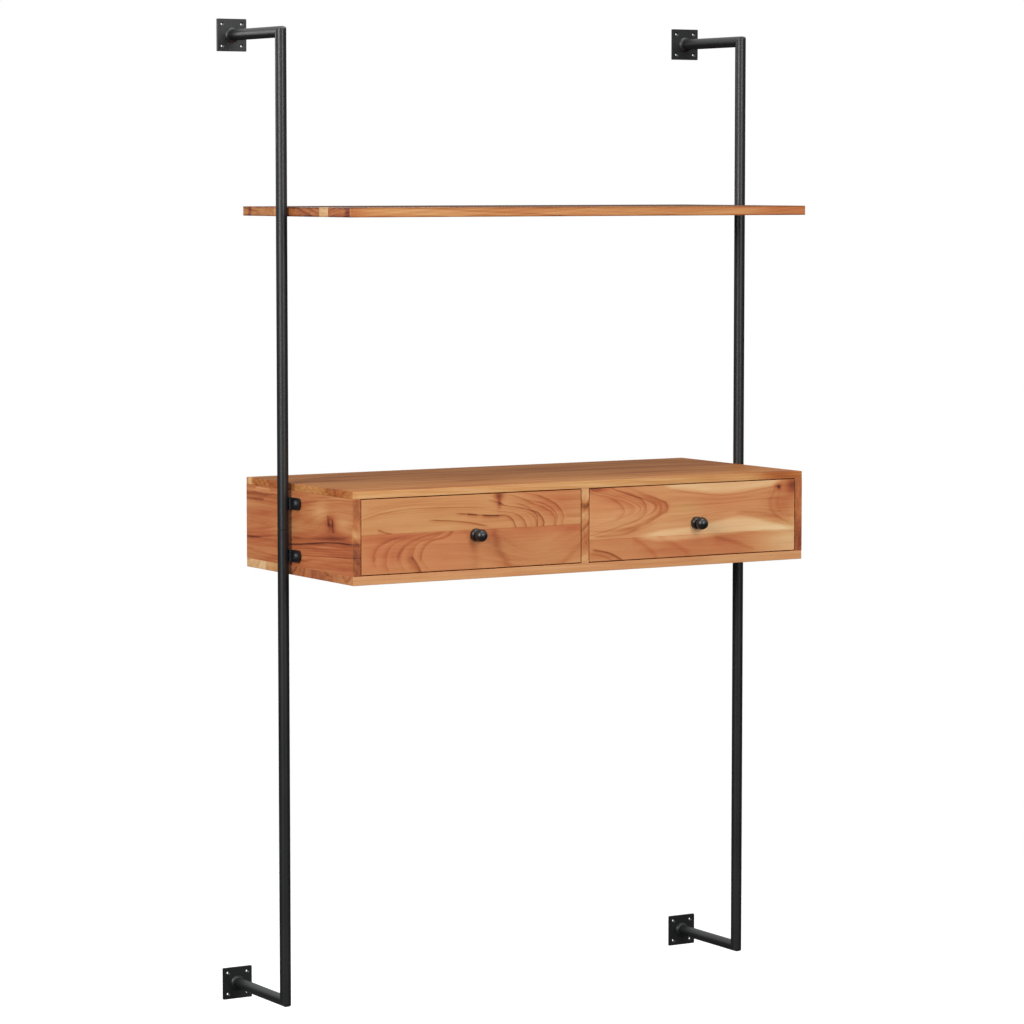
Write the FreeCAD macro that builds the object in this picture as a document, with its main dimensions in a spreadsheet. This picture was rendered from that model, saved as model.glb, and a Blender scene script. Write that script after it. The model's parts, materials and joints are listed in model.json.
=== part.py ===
import FreeCAD, Part
import math
import os
import Sketcher

# Wall desk: two steel tube frames carry a shelf board and a desk box with two drawers.
# Millimetres. X runs along the wall to the right, Y into the wall, Z up.
# The origin lies on the wall, in the middle of the four wall plates.

DIMENSIONS = {
    # Shelf board
    "shelf_length": "900",
    "shelf_depth": "380",
    "shelf_thickness": "16",
    "shelf_top_height": "526",
    "shelf_end_gap": "1.5",
    "wall_gap": "20",
    "board_edge_round": "0.8",
    # Tube frames
    "tube_diameter": "19",
    "tube_wall": "2.5",
    "tube_span": "1650",
    "tube_corner_radius": "7",
    "tube_end_bevel": "0.6",
    "arm_reach": "182",
    "weld_leg": "4",
    "sleeve_length": "80",
    "sleeve_wall": "2",
    # Wall plates
    "plate_side": "55",
    "plate_thickness": "4",
    "plate_corner_radius": "1.2",
    "plate_hole_spacing": "37",
    "plate_hole_diameter": "3.6",
    "plate_countersink_diameter": "7.2",
    # Desk lugs and their bolts
    "lug_height": "20",
    "lug_thickness": "5",
    "lug_reach": "28",
    "lug_end": "10",
    "lug_corner_radius": "8",
    "lug_spacing": "88",
    "bolt_diameter": "6",
    "bolt_head_diameter": "13",
    "bolt_head_height": "4",
    "bolt_socket_width": "4",
    "bolt_socket_depth": "2.2",
    "bolt_tip": "1.5",
    "washer_diameter": "16",
    "washer_thickness": "1.5",
    "nut_width": "10",
    "nut_height": "5",
    # Shelf tabs and wood screws
    "tab_length": "42",
    "tab_width": "16",
    "tab_thickness": "2.5",
    "tab_corner_radius": "4",
    "tab_hole_inset": "8",
    "tab_hole_spacing": "20",
    "screw_diameter": "4",
    "screw_head_diameter": "8",
    "screw_head_height": "2.4",
    "screw_tip": "2.5",
    "shelf_screw_bite": "10",
    "runner_screw_bite": "6",
    "stop_screw_bite": "7",
    # Desk box
    "desk_height": "154",
    "desk_depth": "380",
    "desk_top_height": "64",
    "top_thickness": "12",
    "bottom_thickness": "15",
    "side_thickness": "14",
    "divider_thickness": "14",
    "back_thickness": "10",
    "dowel_diameter": "8",
    "dowel_panel_depth": "7",
    "dowel_end_depth": "20",
    "dowel_chamfer": "0.8",
    # Drawers
    "drawer_gap": "1.5",
    "drawer_travel": "260",
    "drawer_rear_gap": "10",
    "front_thickness": "16",
    "front_edge_round": "0.8",
    "box_side_thickness": "12",
    "box_side_drop": "10",
    "box_back_thickness": "12",
    "box_back_inset": "6",
    "box_bottom_thickness": "5",
    "box_bottom_raise": "10",
    "box_groove_depth": "5",
    "box_housing_depth": "5",
    # Runners and stops
    "runner_gap": "12",
    "runner_height": "14",
    "runner_bite": "6",
    "runner_setback": "40",
    "stop_length": "50",
    "stop_width": "16",
    "stop_height": "18",
    "stop_corner_radius": "4",
    # Knobs
    "knob_projection": "29",
    "knob_base_diameter": "21.5",
    "knob_base_height": "9",
    "knob_base_round": "4.8",
    "knob_waist_diameter": "11.2",
    "knob_head_diameter": "21.2",
    "knob_head_height": "15.8",
    "knob_dome_height": "9.4",
    "knob_offset": "5",
    "knob_drop": "5",
    "knob_bore_depth": "12",
    "knob_screw_bite": "10",
    # Clearances
    "running_clearance": "0.3",
    "hole_clearance": "0.3",
    "glue_clearance": "0.1",
    "snug_clearance": "0.05",
    "cut_overrun": "3",
}

# Shares, free of scale
RIGHT_ANGLE_HALF_SHARE = 1 - math.sqrt(0.5)
HEX_CORNER_SHARE = 1 / math.sqrt(3)
WELD_BULGE_SHARE = 1.4
CREASE_COS_SHARE = 0.8
CREASE_SIN_SHARE = 0.6
CREASE_FOOT_SHARE = 0.9
BOLT_FLAT_SHARE = 0.5
DOWEL_SHARES = (0.12, 0.38, 0.88)
RUNNER_SCREW_SHARES = (0.15, 0.85)


class Size:
    """A length with its value and the expression that gives it from the sheet's cells."""

    def __init__(self, text, value):
        self.text = text
        self.value = value

    def __add__(self, other):
        other = size_of(other)
        return Size(f"({self.text} + {other.text})", self.value + other.value)

    def __sub__(self, other):
        other = size_of(other)
        return Size(f"({self.text} - {other.text})", self.value - other.value)

    def __mul__(self, other):
        other = size_of(other)
        return Size(f"({self.text} * {other.text})", self.value * other.value)

    def __truediv__(self, other):
        other = size_of(other)
        return Size(f"({self.text} / {other.text})", self.value / other.value)

    def __neg__(self):
        return Size(f"(0 - {self.text})", -self.value)


def size_of(item):
    """A plain number, such as a share or zero, as a Size."""
    if isinstance(item, Size):
        return item
    return Size(f"({item!r})", float(item))


def root(square):
    return Size(f"sqrt({square.text})", math.sqrt(square.value))


class Sheet:
    """The driving dimensions as cells of one spreadsheet, read as attributes."""

    def __init__(self, document, name, table):
        self.sheet = document.addObject("Spreadsheet::Sheet", name)
        for row, (alias, text) in enumerate(table.items(), start=1):
            self.sheet.set(f"A{row}", alias)
            self.sheet.set(f"B{row}", text)
            self.sheet.setAlias(f"B{row}", alias)
        document.recompute()

    def __getattr__(self, alias):
        return Size(f"{self.sheet.Name}.{alias}", float(self.sheet.get(alias)))


doc = FreeCAD.newDocument("wall_desk")
dims = Sheet(doc, "dims", DIMENSIONS)
pieces = []

# Sketch planes square to each axis, and the way each plane's normal points along it
PLANE_ROLES = {"x": "YZ_Plane", "y": "XZ_Plane", "z": "XY_Plane"}
PLANE_FACING = {"x": 1, "y": -1, "z": 1}

# Turns that put a piece's own axes on the part's axes
AHEAD = FreeCAD.Rotation()
HALF_TURN = FreeCAD.Rotation(FreeCAD.Vector(0, 1, 0), 180)
LEVEL_HALF_TURN = FreeCAD.Rotation(FreeCAD.Vector(0, 0, 1), 180)
UPPER_ARM_TURN = FreeCAD.Rotation(FreeCAD.Vector(0, 1, -1), 180)
LOWER_ARM_TURN = FreeCAD.Rotation(FreeCAD.Vector(1, 0, 0), 90)
Z_TO_FRONT = FreeCAD.Rotation(FreeCAD.Vector(1, 0, 0), 90)
Z_TO_RIGHT = FreeCAD.Rotation(FreeCAD.Vector(0, 1, 0), 90)
Z_TO_LEFT = FreeCAD.Rotation(FreeCAD.Vector(0, 1, 0), -90)


# Drawing helpers

def bind(item, path, size):
    item.setExpression(path, size_of(size).text)


def place(item, x, y, z, turn=AHEAD):
    item.Placement = FreeCAD.Placement(FreeCAD.Vector(), turn)
    bind(item, "Placement.Base.x", x)
    bind(item, "Placement.Base.y", y)
    bind(item, "Placement.Base.z", z)


def new_body(label, counted=True):
    body = doc.addObject("PartDesign::Body", label)
    body.Label = label
    if counted:
        pieces.append(body)
    return body


def group(label, members):
    """Identical fasteners as one piece of several solids."""
    bundle = doc.addObject("Part::Compound", label)
    bundle.Label = label
    bundle.Links = members
    pieces.append(bundle)


def new_sketch(body, name, axis, level=0):
    """An empty sketch square to an axis of the body, at a level along it."""
    sketch = body.newObject("Sketcher::SketchObject", name)
    planes = [item for item in body.Origin.OriginFeatures if item.Role == PLANE_ROLES[axis]]
    sketch.AttachmentSupport = [(planes[0], "")]
    sketch.MapMode = "FlatFace"
    bind(sketch, "AttachmentOffset.Base.z", size_of(level) * PLANE_FACING[axis])
    return sketch


def constrain(sketch, size, kind, *where):
    index = sketch.addConstraint(Sketcher.Constraint(kind, *where, size.value))
    bind(sketch, f"Constraints[{index}]", size)


def pin_point(sketch, curve, point, u, v):
    """Ties a point of a sketch to its place; a plain zero lies on the axis."""
    for kind, axis, size in (("DistanceX", -2, u), ("DistanceY", -1, v)):
        if isinstance(size, Size):
            constrain(sketch, size, kind, -1, 1, curve, point)
        else:
            sketch.addConstraint(Sketcher.Constraint("PointOnObject", curve, point, axis))


def arc_between(start, end, radius, turn):
    """The shorter arc from start to end; turn is 1 to the left and -1 to the right."""
    middle = (start + end) / 2
    chord = end - start
    height = math.sqrt(max(radius ** 2 - chord.Length ** 2 / 4, 0))
    left = FreeCAD.Vector(-chord.y, chord.x, 0).normalize()
    centre = middle + left * (height * turn)
    first, last = (start, end) if turn > 0 else (end, start)
    angles = [math.atan2(p.y - centre.y, p.x - centre.x) for p in (first, last)]
    return Part.ArcOfCircle(Part.Circle(centre, FreeCAD.Vector(0, 0, 1), radius), *angles)


def add_outline(sketch, *corners):
    """A closed outline. A corner is (u, v), or (u, v, radius, turn) where an arc arrives at it."""
    points = [FreeCAD.Vector(size_of(c[0]).value, size_of(c[1]).value, 0) for c in corners]
    ends = []
    for number, corner in enumerate(corners):
        start, end = points[number - 1], points[number]
        if len(corner) > 2:
            radius, turn = corner[2:]
            curve = sketch.addGeometry(arc_between(start, end, radius.value, turn), False)
            ends.append((curve, 1, 2) if turn > 0 else (curve, 2, 1))
        else:
            ends.append((sketch.addGeometry(Part.LineSegment(start, end), False), 1, 2))
    for number, corner in enumerate(corners):
        curve, first, last = ends[number]
        following, its_first, its_last = ends[(number + 1) % len(corners)]
        sketch.addConstraint(Sketcher.Constraint("Coincident", curve, last, following, its_first))
        pin_point(sketch, curve, last, corner[0], corner[1])
        if len(corner) > 2:
            constrain(sketch, corner[2], "Radius", curve)


def add_rectangle(sketch, u_range, v_range):
    (u0, u1), (v0, v1) = u_range, v_range
    add_outline(sketch, (u0, v0), (u1, v0), (u1, v1), (u0, v1))


def add_rounded_rectangle(sketch, u_range, v_range, radius):
    (u0, u1), (v0, v1) = u_range, v_range
    add_outline(
        sketch,
        (u0 + radius, v0, radius, 1), (u1 - radius, v0),
        (u1, v0 + radius, radius, 1), (u1, v1 - radius),
        (u1 - radius, v1, radius, 1), (u0 + radius, v1),
        (u0, v1 - radius, radius, 1), (u0, v0 + radius),
    )


def add_circle(sketch, u, v, radius):
    centre = FreeCAD.Vector(size_of(u).value, size_of(v).value, 0)
    curve = sketch.addGeometry(Part.Circle(centre, FreeCAD.Vector(0, 0, 1), radius.value), False)
    pin_point(sketch, curve, 3, u, v)
    constrain(sketch, radius, "Radius", curve)


def add_hexagon(sketch, width):
    """A hexagon about the sketch's origin, with its flats square to v."""
    corner = width * HEX_CORNER_SHARE
    add_outline(
        sketch,
        (corner, 0), (corner / 2, width / 2), (-corner / 2, width / 2),
        (-corner, 0), (-corner / 2, -width / 2), (corner / 2, -width / 2),
    )


def pad(body, sketch, axis, depth):
    """Material from the sketch towards the axis's far end."""
    feature = body.newObject("PartDesign::Pad", f"{sketch.Name}_pad")
    feature.Profile = sketch
    bind(feature, "Length", depth)
    feature.Reversed = PLANE_FACING[axis] < 0
    return feature


def cut(body, sketch, axis, depth):
    """A pocket from the sketch towards the axis's far end."""
    feature = body.newObject("PartDesign::Pocket", f"{sketch.Name}_cut")
    feature.Profile = sketch
    bind(feature, "Length", depth)
    feature.Reversed = PLANE_FACING[axis] > 0


def spin(body, sketch, kind="Revolution", axis="V_Axis"):
    """A full turn of a profile about one of the sketch's axes, added or cut away."""
    feature = body.newObject(f"PartDesign::{kind}", f"{sketch.Name}_turned")
    feature.Profile = sketch
    feature.ReferenceAxis = (sketch, [axis])
    feature.Angle = 360


def board(label, length, depth, height, edge_round=None):
    """A board with its low corner at its own origin and, where wanted, eased edges."""
    body = new_body(label)
    face = new_sketch(body, "face", "z")
    add_rectangle(face, (0, length), (0, depth))
    solid = pad(body, face, "z", height)
    if edge_round is not None:
        doc.recompute()
        eased = body.newObject("PartDesign::Fillet", "eased_edges")
        eased.Base = (solid, ["Edge1"])
        eased.UseAllEdges = True
        bind(eased, "Radius", edge_round)
    return body


def trench(body, name, x_range, y_range, z_range):
    """A straight-sided recess over three ranges of the body's own axes."""
    floor = new_sketch(body, name, "z", z_range[0])
    add_rectangle(floor, x_range, y_range)
    cut(body, floor, "z", size_of(z_range[1]) - z_range[0])


def drill(body, name, axis, level, depth, radius, centres):
    """Round holes along an axis, from a level towards its far end."""
    sketch = new_sketch(body, name, axis, level)
    for u, v in centres:
        add_circle(sketch, u, v, radius)
    cut(body, sketch, axis, depth)


def countersink(body, marks, diameter, mouth_diameter, upward=False):
    """Countersunk holes right through, below the sketch of their marks or above it."""
    doc.recompute()
    holes = body.newObject("PartDesign::Hole", "screw_holes")
    holes.Profile = marks
    holes.ThreadType = "None"
    holes.DepthType = "ThroughAll"
    holes.HoleCutType = "Countersink"
    holes.HoleCutCountersinkAngle = 90
    holes.Reversed = upward
    bind(holes, "Diameter", diameter)
    bind(holes, "HoleCutDiameter", mouth_diameter)


# Places that several pieces share

overrun = dims.cut_overrun
tube_radius = dims.tube_diameter / 2
bore_radius = tube_radius - dims.tube_wall
upright_x = dims.shelf_length / 2 + dims.shelf_end_gap + tube_radius
arm_height = dims.tube_span / 2 - tube_radius
arm_length = dims.arm_reach - dims.plate_thickness + tube_radius

shelf_front = -(dims.wall_gap + dims.shelf_depth)
shelf_underside = dims.shelf_top_height - dims.shelf_thickness
tab_first_hole = tube_radius + dims.tab_length - dims.tab_hole_inset
tab_hole_places = (tab_first_hole, tab_first_hole - dims.tab_hole_spacing)
tube_edge_to_shelf = tube_radius + dims.shelf_end_gap

desk_half = upright_x - tube_radius - dims.lug_thickness
desk_width = desk_half * 2
desk_front = -(dims.wall_gap + dims.desk_depth)
desk_underside = dims.desk_top_height - dims.desk_height
desk_middle = dims.desk_top_height - dims.desk_height / 2
side_height = dims.desk_height - dims.top_thickness - dims.bottom_thickness
side_base = desk_underside + dims.bottom_thickness
top_underside = dims.desk_top_height - dims.top_thickness
inner_depth = dims.desk_depth - dims.back_thickness
lug_bolt_y = -(dims.arm_reach + dims.lug_reach)

opening_width = desk_half - dims.side_thickness - dims.divider_thickness / 2
opening_starts = {
    "left": dims.side_thickness - desk_half,
    "right": dims.divider_thickness / 2,
}
front_width = opening_width - dims.drawer_gap * 2
front_height = side_height - dims.drawer_gap * 2
drawer_base = side_base + dims.drawer_gap
drawer_length = inner_depth - dims.drawer_rear_gap
box_side_height = front_height - dims.box_side_drop
box_side_start = dims.front_thickness - dims.box_housing_depth
box_side_length = drawer_length - box_side_start
box_width = opening_width - dims.runner_gap * 2
box_inner_width = box_width - dims.box_side_thickness * 2
box_floor_top = dims.box_bottom_raise + dims.box_bottom_thickness
box_back_start = drawer_length - dims.box_back_inset - dims.box_back_thickness
runner_middle = desk_middle - drawer_base
runner_length = inner_depth - dims.runner_setback
runner_thickness = dims.runner_gap + dims.runner_bite
stop_rear = desk_front + box_back_start - dims.drawer_travel - dims.running_clearance
knob_x = front_width / 2 + dims.knob_offset
knob_z = front_height / 2 - dims.knob_drop

screw_radius = dims.screw_diameter / 2
screw_head_radius = dims.screw_head_diameter / 2
snug_screw_radius = screw_radius + dims.snug_clearance
loose_screw_radius = screw_radius + dims.hole_clearance
dowel_hole_radius = dims.dowel_diameter / 2 + dims.snug_clearance


# Steel wall frame

def mitred_tube(label, length):
    """A tube along Z, cut at its far end to meet another tube that leaves towards +Y."""
    body = new_body(label)
    ring = new_sketch(body, "ring", "z")
    add_circle(ring, 0, 0, tube_radius)
    add_circle(ring, 0, 0, bore_radius)
    pad(body, ring, "z", length)
    reach = tube_radius + overrun
    radius = dims.tube_corner_radius
    bevel = radius * RIGHT_ANGLE_HALF_SHARE
    mitre = new_sketch(body, "mitre", "x", -reach)
    add_outline(
        mitre,
        (-tube_radius, length - radius),
        (bevel - tube_radius, length - bevel, radius, -1),
        (reach, length - dims.tube_diameter - overrun),
        (reach, length + overrun),
        (-reach, length + overrun),
        (-reach, length - radius),
    )
    cut(body, mitre, "x", reach * 2)
    return body


def upright(label, length):
    """A mitred tube whose near end, where two uprights meet, has a bevelled rim."""
    body = mitred_tube(label, length)
    bevel = new_sketch(body, "bevel", "y")
    add_outline(
        bevel,
        (tube_radius - dims.tube_end_bevel - overrun, -overrun),
        (tube_radius + overrun, -overrun),
        (tube_radius + overrun, dims.tube_end_bevel + overrun),
    )
    spin(body, bevel, "Groove")
    return body


def welded_arm(label):
    """A mitred tube with the weld that joins its near end to a wall plate."""
    body = mitred_tube(label, arm_length)
    inside = tube_radius - dims.tube_wall / 2
    weld = new_sketch(body, "weld", "y")
    add_outline(
        weld,
        (inside, 0),
        (tube_radius + dims.weld_leg, 0),
        (tube_radius, dims.weld_leg, dims.weld_leg * WELD_BULGE_SHARE, 1),
        (inside, dims.weld_leg),
    )
    spin(body, weld)
    return body


def wall_plate(label):
    """A square plate with countersunk holes, its back on the wall."""
    body = new_body(label)
    half = dims.plate_side / 2
    front = -dims.plate_thickness
    square = new_sketch(body, "square", "y", front)
    add_rounded_rectangle(square, (-half, half), (-half, half), dims.plate_corner_radius)
    pad(body, square, "y", dims.plate_thickness)
    places = (dims.plate_hole_spacing / 2, -dims.plate_hole_spacing / 2)
    marks = new_sketch(body, "hole_marks", "y", front)
    for u in places:
        for v in places:
            add_circle(marks, u, v, dims.plate_hole_diameter / 2)
    countersink(body, marks, dims.plate_hole_diameter, dims.plate_countersink_diameter)
    return body


def joint_sleeve(label):
    """The inner tube that lines up an upper and a lower upright."""
    body = new_body(label)
    outside = bore_radius - dims.snug_clearance
    ring = new_sketch(body, "ring", "z", -dims.sleeve_length / 2)
    add_circle(ring, 0, 0, outside)
    add_circle(ring, 0, 0, outside - dims.sleeve_wall)
    pad(body, ring, "z", dims.sleeve_length)
    return body


def desk_lug(label):
    """A flat ear on the inner side of an upright, whose axis is the lug's own Z."""
    body = new_body(label)
    half = dims.lug_height / 2
    nose = -(dims.lug_reach + dims.lug_end)
    radius = dims.lug_corner_radius
    ear = new_sketch(body, "ear", "x", tube_radius)
    add_outline(
        ear,
        (tube_radius, -half), (tube_radius, half), (nose + radius, half),
        (nose, half - radius, radius, 1), (nose, radius - half),
        (nose + radius, -half, radius, 1),
    )
    add_circle(ear, -dims.lug_reach, 0, dims.bolt_diameter / 2 + dims.hole_clearance)
    pad(body, ear, "x", dims.lug_thickness)
    outside = tube_radius + dims.snug_clearance
    cusp = root(outside * outside - tube_radius * tube_radius)
    welds = new_sketch(body, "crease_welds", "z", -half)
    for way in (-1, 1):
        add_outline(
            welds,
            (tube_radius, cusp * way),
            (outside * CREASE_COS_SHARE, outside * (CREASE_SIN_SHARE * way), outside, way),
            (tube_radius, outside * (CREASE_FOOT_SHARE * way)),
        )
    pad(body, welds, "z", dims.lug_height)
    return body


def shelf_tab(label):
    """A tongue let into the shelf's underside, coped round an upright on the tab's own Z."""
    body = new_body(label)
    half = dims.tab_width / 2
    outside = tube_radius + dims.snug_clearance
    foot = root(outside * outside - half * half)
    end = tube_radius + dims.tab_length
    radius = dims.tab_corner_radius
    tongue = new_sketch(body, "tongue", "z")
    add_outline(
        tongue,
        (foot, -half, outside, -1), (end - radius, -half),
        (end, radius - half, radius, 1), (end, half - radius),
        (end - radius, half, radius, 1), (foot, half),
    )
    pad(body, tongue, "z", dims.tab_thickness)
    marks = new_sketch(body, "hole_marks", "z")
    for place_along in tab_hole_places:
        add_circle(marks, place_along, 0, loose_screw_radius)
    mouth = dims.screw_head_diameter + dims.snug_clearance * 2
    countersink(body, marks, loose_screw_radius * 2, mouth, upward=True)
    return body


def lug_bolt():
    """A button-head bolt along Z, with its head below zero."""
    body = new_body("lug_bolt", counted=False)
    shank = dims.bolt_diameter / 2
    head = dims.bolt_head_diameter / 2
    crown = -dims.bolt_head_height
    length = dims.lug_thickness + dims.side_thickness + dims.washer_thickness + dims.nut_height
    tip = length + dims.bolt_tip
    profile = new_sketch(body, "profile", "y")
    add_outline(
        profile,
        (0, crown), (head * BOLT_FLAT_SHARE, crown), (head, 0, head, 1),
        (shank, 0), (shank, length), (shank - dims.bolt_tip / 2, tip), (0, tip),
    )
    spin(body, profile)
    socket = new_sketch(body, "socket", "z", crown)
    add_hexagon(socket, dims.bolt_socket_width)
    cut(body, socket, "z", dims.bolt_socket_depth)
    return body


def lug_washer():
    body = new_body("lug_washer", counted=False)
    ring = new_sketch(body, "ring", "z")
    add_circle(ring, 0, 0, dims.washer_diameter / 2)
    add_circle(ring, 0, 0, dims.bolt_diameter / 2 + dims.hole_clearance)
    pad(body, ring, "z", dims.washer_thickness)
    return body


def lug_nut():
    body = new_body("lug_nut", counted=False)
    hexagon = new_sketch(body, "hexagon", "z")
    add_hexagon(hexagon, dims.nut_width)
    add_circle(hexagon, 0, 0, dims.bolt_diameter / 2 + dims.snug_clearance)
    pad(body, hexagon, "z", dims.nut_height)
    return body


def pan_screw(label, length, counted=False):
    """A domed screw along Z, with its head below zero."""
    body = new_body(label, counted)
    crown = -dims.screw_head_height
    profile = new_sketch(body, "profile", "y")
    add_outline(
        profile,
        (0, crown), (screw_radius, crown), (screw_head_radius, 0, screw_head_radius, 1),
        (screw_radius, 0), (screw_radius, length - dims.screw_tip), (0, length),
    )
    spin(body, profile)
    return body


def flush_screw(label, length):
    """A countersunk screw along Z, with its flat head at zero."""
    body = new_body(label, counted=False)
    cone = screw_head_radius - screw_radius
    profile = new_sketch(body, "profile", "y")
    add_outline(
        profile,
        (0, 0), (screw_head_radius, 0), (screw_radius, cone),
        (screw_radius, length - dims.screw_tip), (0, length),
    )
    spin(body, profile)
    return body


def build_frame_side(side, way, turn, tab_turn, inward):
    """One upright with its arms, plates, sleeve, lugs and tab; way is -1 left and 1 right."""
    x = upright_x * way
    y = -dims.arm_reach
    half_span = dims.tube_span / 2
    levels = (
        ("upper", 1, half_span - desk_middle, AHEAD, UPPER_ARM_TURN),
        ("lower", -1, half_span + desk_middle, HALF_TURN, LOWER_ARM_TURN),
    )
    for level, sign, length, upright_turn, arm_turn in levels:
        place(upright(f"{side}_{level}_upright", length), x, y, desk_middle, upright_turn)
        arm = welded_arm(f"{side}_{level}_arm")
        place(arm, x, -dims.plate_thickness, arm_height * sign, arm_turn)
        place(wall_plate(f"{side}_{level}_wall_plate"), x, 0, arm_height * sign)
        lug_height = desk_middle + dims.lug_spacing * (sign / 2)
        place(desk_lug(f"{side}_{level}_desk_lug"), x, y, lug_height, turn)
        bolt_face = (tube_radius - upright_x) * -way
        panel_face = (desk_half - dims.side_thickness) * way
        nut_face = panel_face - dims.washer_thickness * way
        for family, maker, face in (
            (bolts, lug_bolt, bolt_face), (washers, lug_washer, panel_face), (nuts, lug_nut, nut_face)
        ):
            fastener = maker()
            place(fastener, face, lug_bolt_y, lug_height, inward)
            family.append(fastener)
    place(joint_sleeve(f"{side}_joint_sleeve"), x, y, desk_middle)
    place(shelf_tab(f"{side}_shelf_tab"), x, y, shelf_underside, tab_turn)
    for place_along in tab_hole_places:
        screw = flush_screw("shelf_screw", dims.tab_thickness + dims.shelf_screw_bite)
        place(screw, x - place_along * way, y, shelf_underside)
        shelf_screws.append(screw)


# Shelf and desk box

def build_shelf():
    shelf = board(
        "shelf", dims.shelf_length, dims.shelf_depth, dims.shelf_thickness, dims.board_edge_round
    )
    glue = dims.glue_clearance
    middle = dims.shelf_depth + dims.wall_gap - dims.arm_reach
    half = dims.tab_width / 2 + glue
    radius = dims.tab_corner_radius + glue
    inner_end = dims.tab_length - dims.shelf_end_gap + glue
    outer_end = -(radius + overrun)
    recess = new_sketch(shelf, "tab_recesses", "z", -overrun)
    for x_range in ((outer_end, inner_end), (dims.shelf_length - inner_end, dims.shelf_length - outer_end)):
        add_rounded_rectangle(recess, x_range, (middle - half, middle + half), radius)
    cut(shelf, recess, "z", dims.tab_thickness + overrun)
    centres = []
    for place_along in tab_hole_places:
        inset = place_along - tube_edge_to_shelf
        centres += [(inset, middle), (dims.shelf_length - inset, middle)]
    depth = dims.shelf_screw_bite + dims.hole_clearance
    drill(shelf, "screw_pilots", "z", dims.tab_thickness, depth, snug_screw_radius, centres)
    place(shelf, -dims.shelf_length / 2, shelf_front, shelf_underside)


def stop_screw_place():
    """Along the desk box's depth, from its front, where the drawer stops are screwed on."""
    return stop_rear - dims.stop_width / 2 - desk_front


def build_panels():
    """The top and the bottom, which run over the sides and the divider."""
    joints = (dims.side_thickness / 2, desk_half, desk_width - dims.side_thickness / 2)
    dowels = [(x, dims.desk_depth * share) for x in joints for share in DOWEL_SHARES]
    depth = dims.dowel_panel_depth + dims.glue_clearance
    top = board("desk_top", desk_width, dims.desk_depth, dims.top_thickness, dims.board_edge_round)
    drill(top, "dowel_holes", "z", 0, depth, dowel_hole_radius, dowels)
    middles = [(start + opening_width / 2 + desk_half, stop_screw_place())
               for start in opening_starts.values()]
    pilot_depth = dims.stop_screw_bite + dims.hole_clearance
    drill(top, "stop_pilots", "z", 0, pilot_depth, snug_screw_radius, middles)
    place(top, -desk_half, desk_front, top_underside)
    bottom = board(
        "desk_bottom", desk_width, dims.desk_depth, dims.bottom_thickness, dims.board_edge_round
    )
    level = dims.bottom_thickness - depth
    drill(bottom, "dowel_holes", "z", level, depth, dowel_hole_radius, dowels)
    place(bottom, -desk_half, desk_front, desk_underside)


def drill_upright_board(body, thickness):
    """Dowel holes in the lower and upper ends of a side or the divider."""
    centres = [(thickness / 2, dims.desk_depth * share) for share in DOWEL_SHARES]
    depth = dims.dowel_end_depth + dims.glue_clearance
    drill(body, "lower_dowel_holes", "z", 0, depth, dowel_hole_radius, centres)
    drill(body, "upper_dowel_holes", "z", side_height - depth, depth, dowel_hole_radius, centres)


def runner_screw_centres():
    """Where the runner screws enter a side or the divider, along its depth and height."""
    return [(dims.runner_setback + runner_length * share, desk_middle - side_base)
            for share in RUNNER_SCREW_SHARES]


def build_sides():
    pilot_depth = dims.runner_screw_bite + dims.hole_clearance
    lug_rise = dims.lug_spacing / 2
    middle = desk_middle - side_base
    bolt_depth = lug_bolt_y - desk_front
    bolt_centres = [(bolt_depth, middle + lug_rise), (bolt_depth, middle - lug_rise)]
    inner_faces = {
        "left": (-desk_half, dims.side_thickness - pilot_depth),
        "right": (desk_half - dims.side_thickness, 0),
    }
    for side, (x, pilot_level) in inner_faces.items():
        panel = board(f"desk_{side}_side", dims.side_thickness, dims.desk_depth, side_height)
        drill_upright_board(panel, dims.side_thickness)
        bolt_radius = dims.bolt_diameter / 2 + dims.hole_clearance
        drill(panel, "bolt_holes", "x", 0, dims.side_thickness, bolt_radius, bolt_centres)
        drill(panel, "pilots", "x", pilot_level, pilot_depth, snug_screw_radius, runner_screw_centres())
        place(panel, x, desk_front, side_base)


def build_divider_and_back():
    pilot_depth = dims.runner_screw_bite + dims.hole_clearance
    divider = board("desk_divider", dims.divider_thickness, inner_depth, side_height)
    drill_upright_board(divider, dims.divider_thickness)
    for name, level in (("left_pilots", 0), ("right_pilots", dims.divider_thickness - pilot_depth)):
        drill(divider, name, "x", level, pilot_depth, snug_screw_radius, runner_screw_centres())
    place(divider, -dims.divider_thickness / 2, desk_front, side_base)
    back = board("desk_back", desk_width - dims.side_thickness * 2, dims.back_thickness, side_height)
    place(back, dims.side_thickness - desk_half, desk_front + inner_depth, side_base)


def build_dowels():
    radius = dims.dowel_diameter / 2
    chamfer = dims.dowel_chamfer
    length = dims.dowel_panel_depth + dims.dowel_end_depth
    joints = (dims.side_thickness / 2 - desk_half, 0, desk_half - dims.side_thickness / 2)
    seats = (top_underside - dims.dowel_end_depth, side_base - dims.dowel_panel_depth)
    dowels = []
    for x in joints:
        for share in DOWEL_SHARES:
            for z in seats:
                dowel = new_body("dowel", counted=False)
                profile = new_sketch(dowel, "profile", "y")
                add_outline(
                    profile,
                    (0, 0), (radius - chamfer, 0), (radius, chamfer),
                    (radius, length - chamfer), (radius - chamfer, length), (0, length),
                )
                spin(dowel, profile)
                place(dowel, x, desk_front + dims.desk_depth * share, z)
                dowels.append(dowel)
    group("carcass_dowels", dowels)


# Runners and drawer stops

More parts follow.
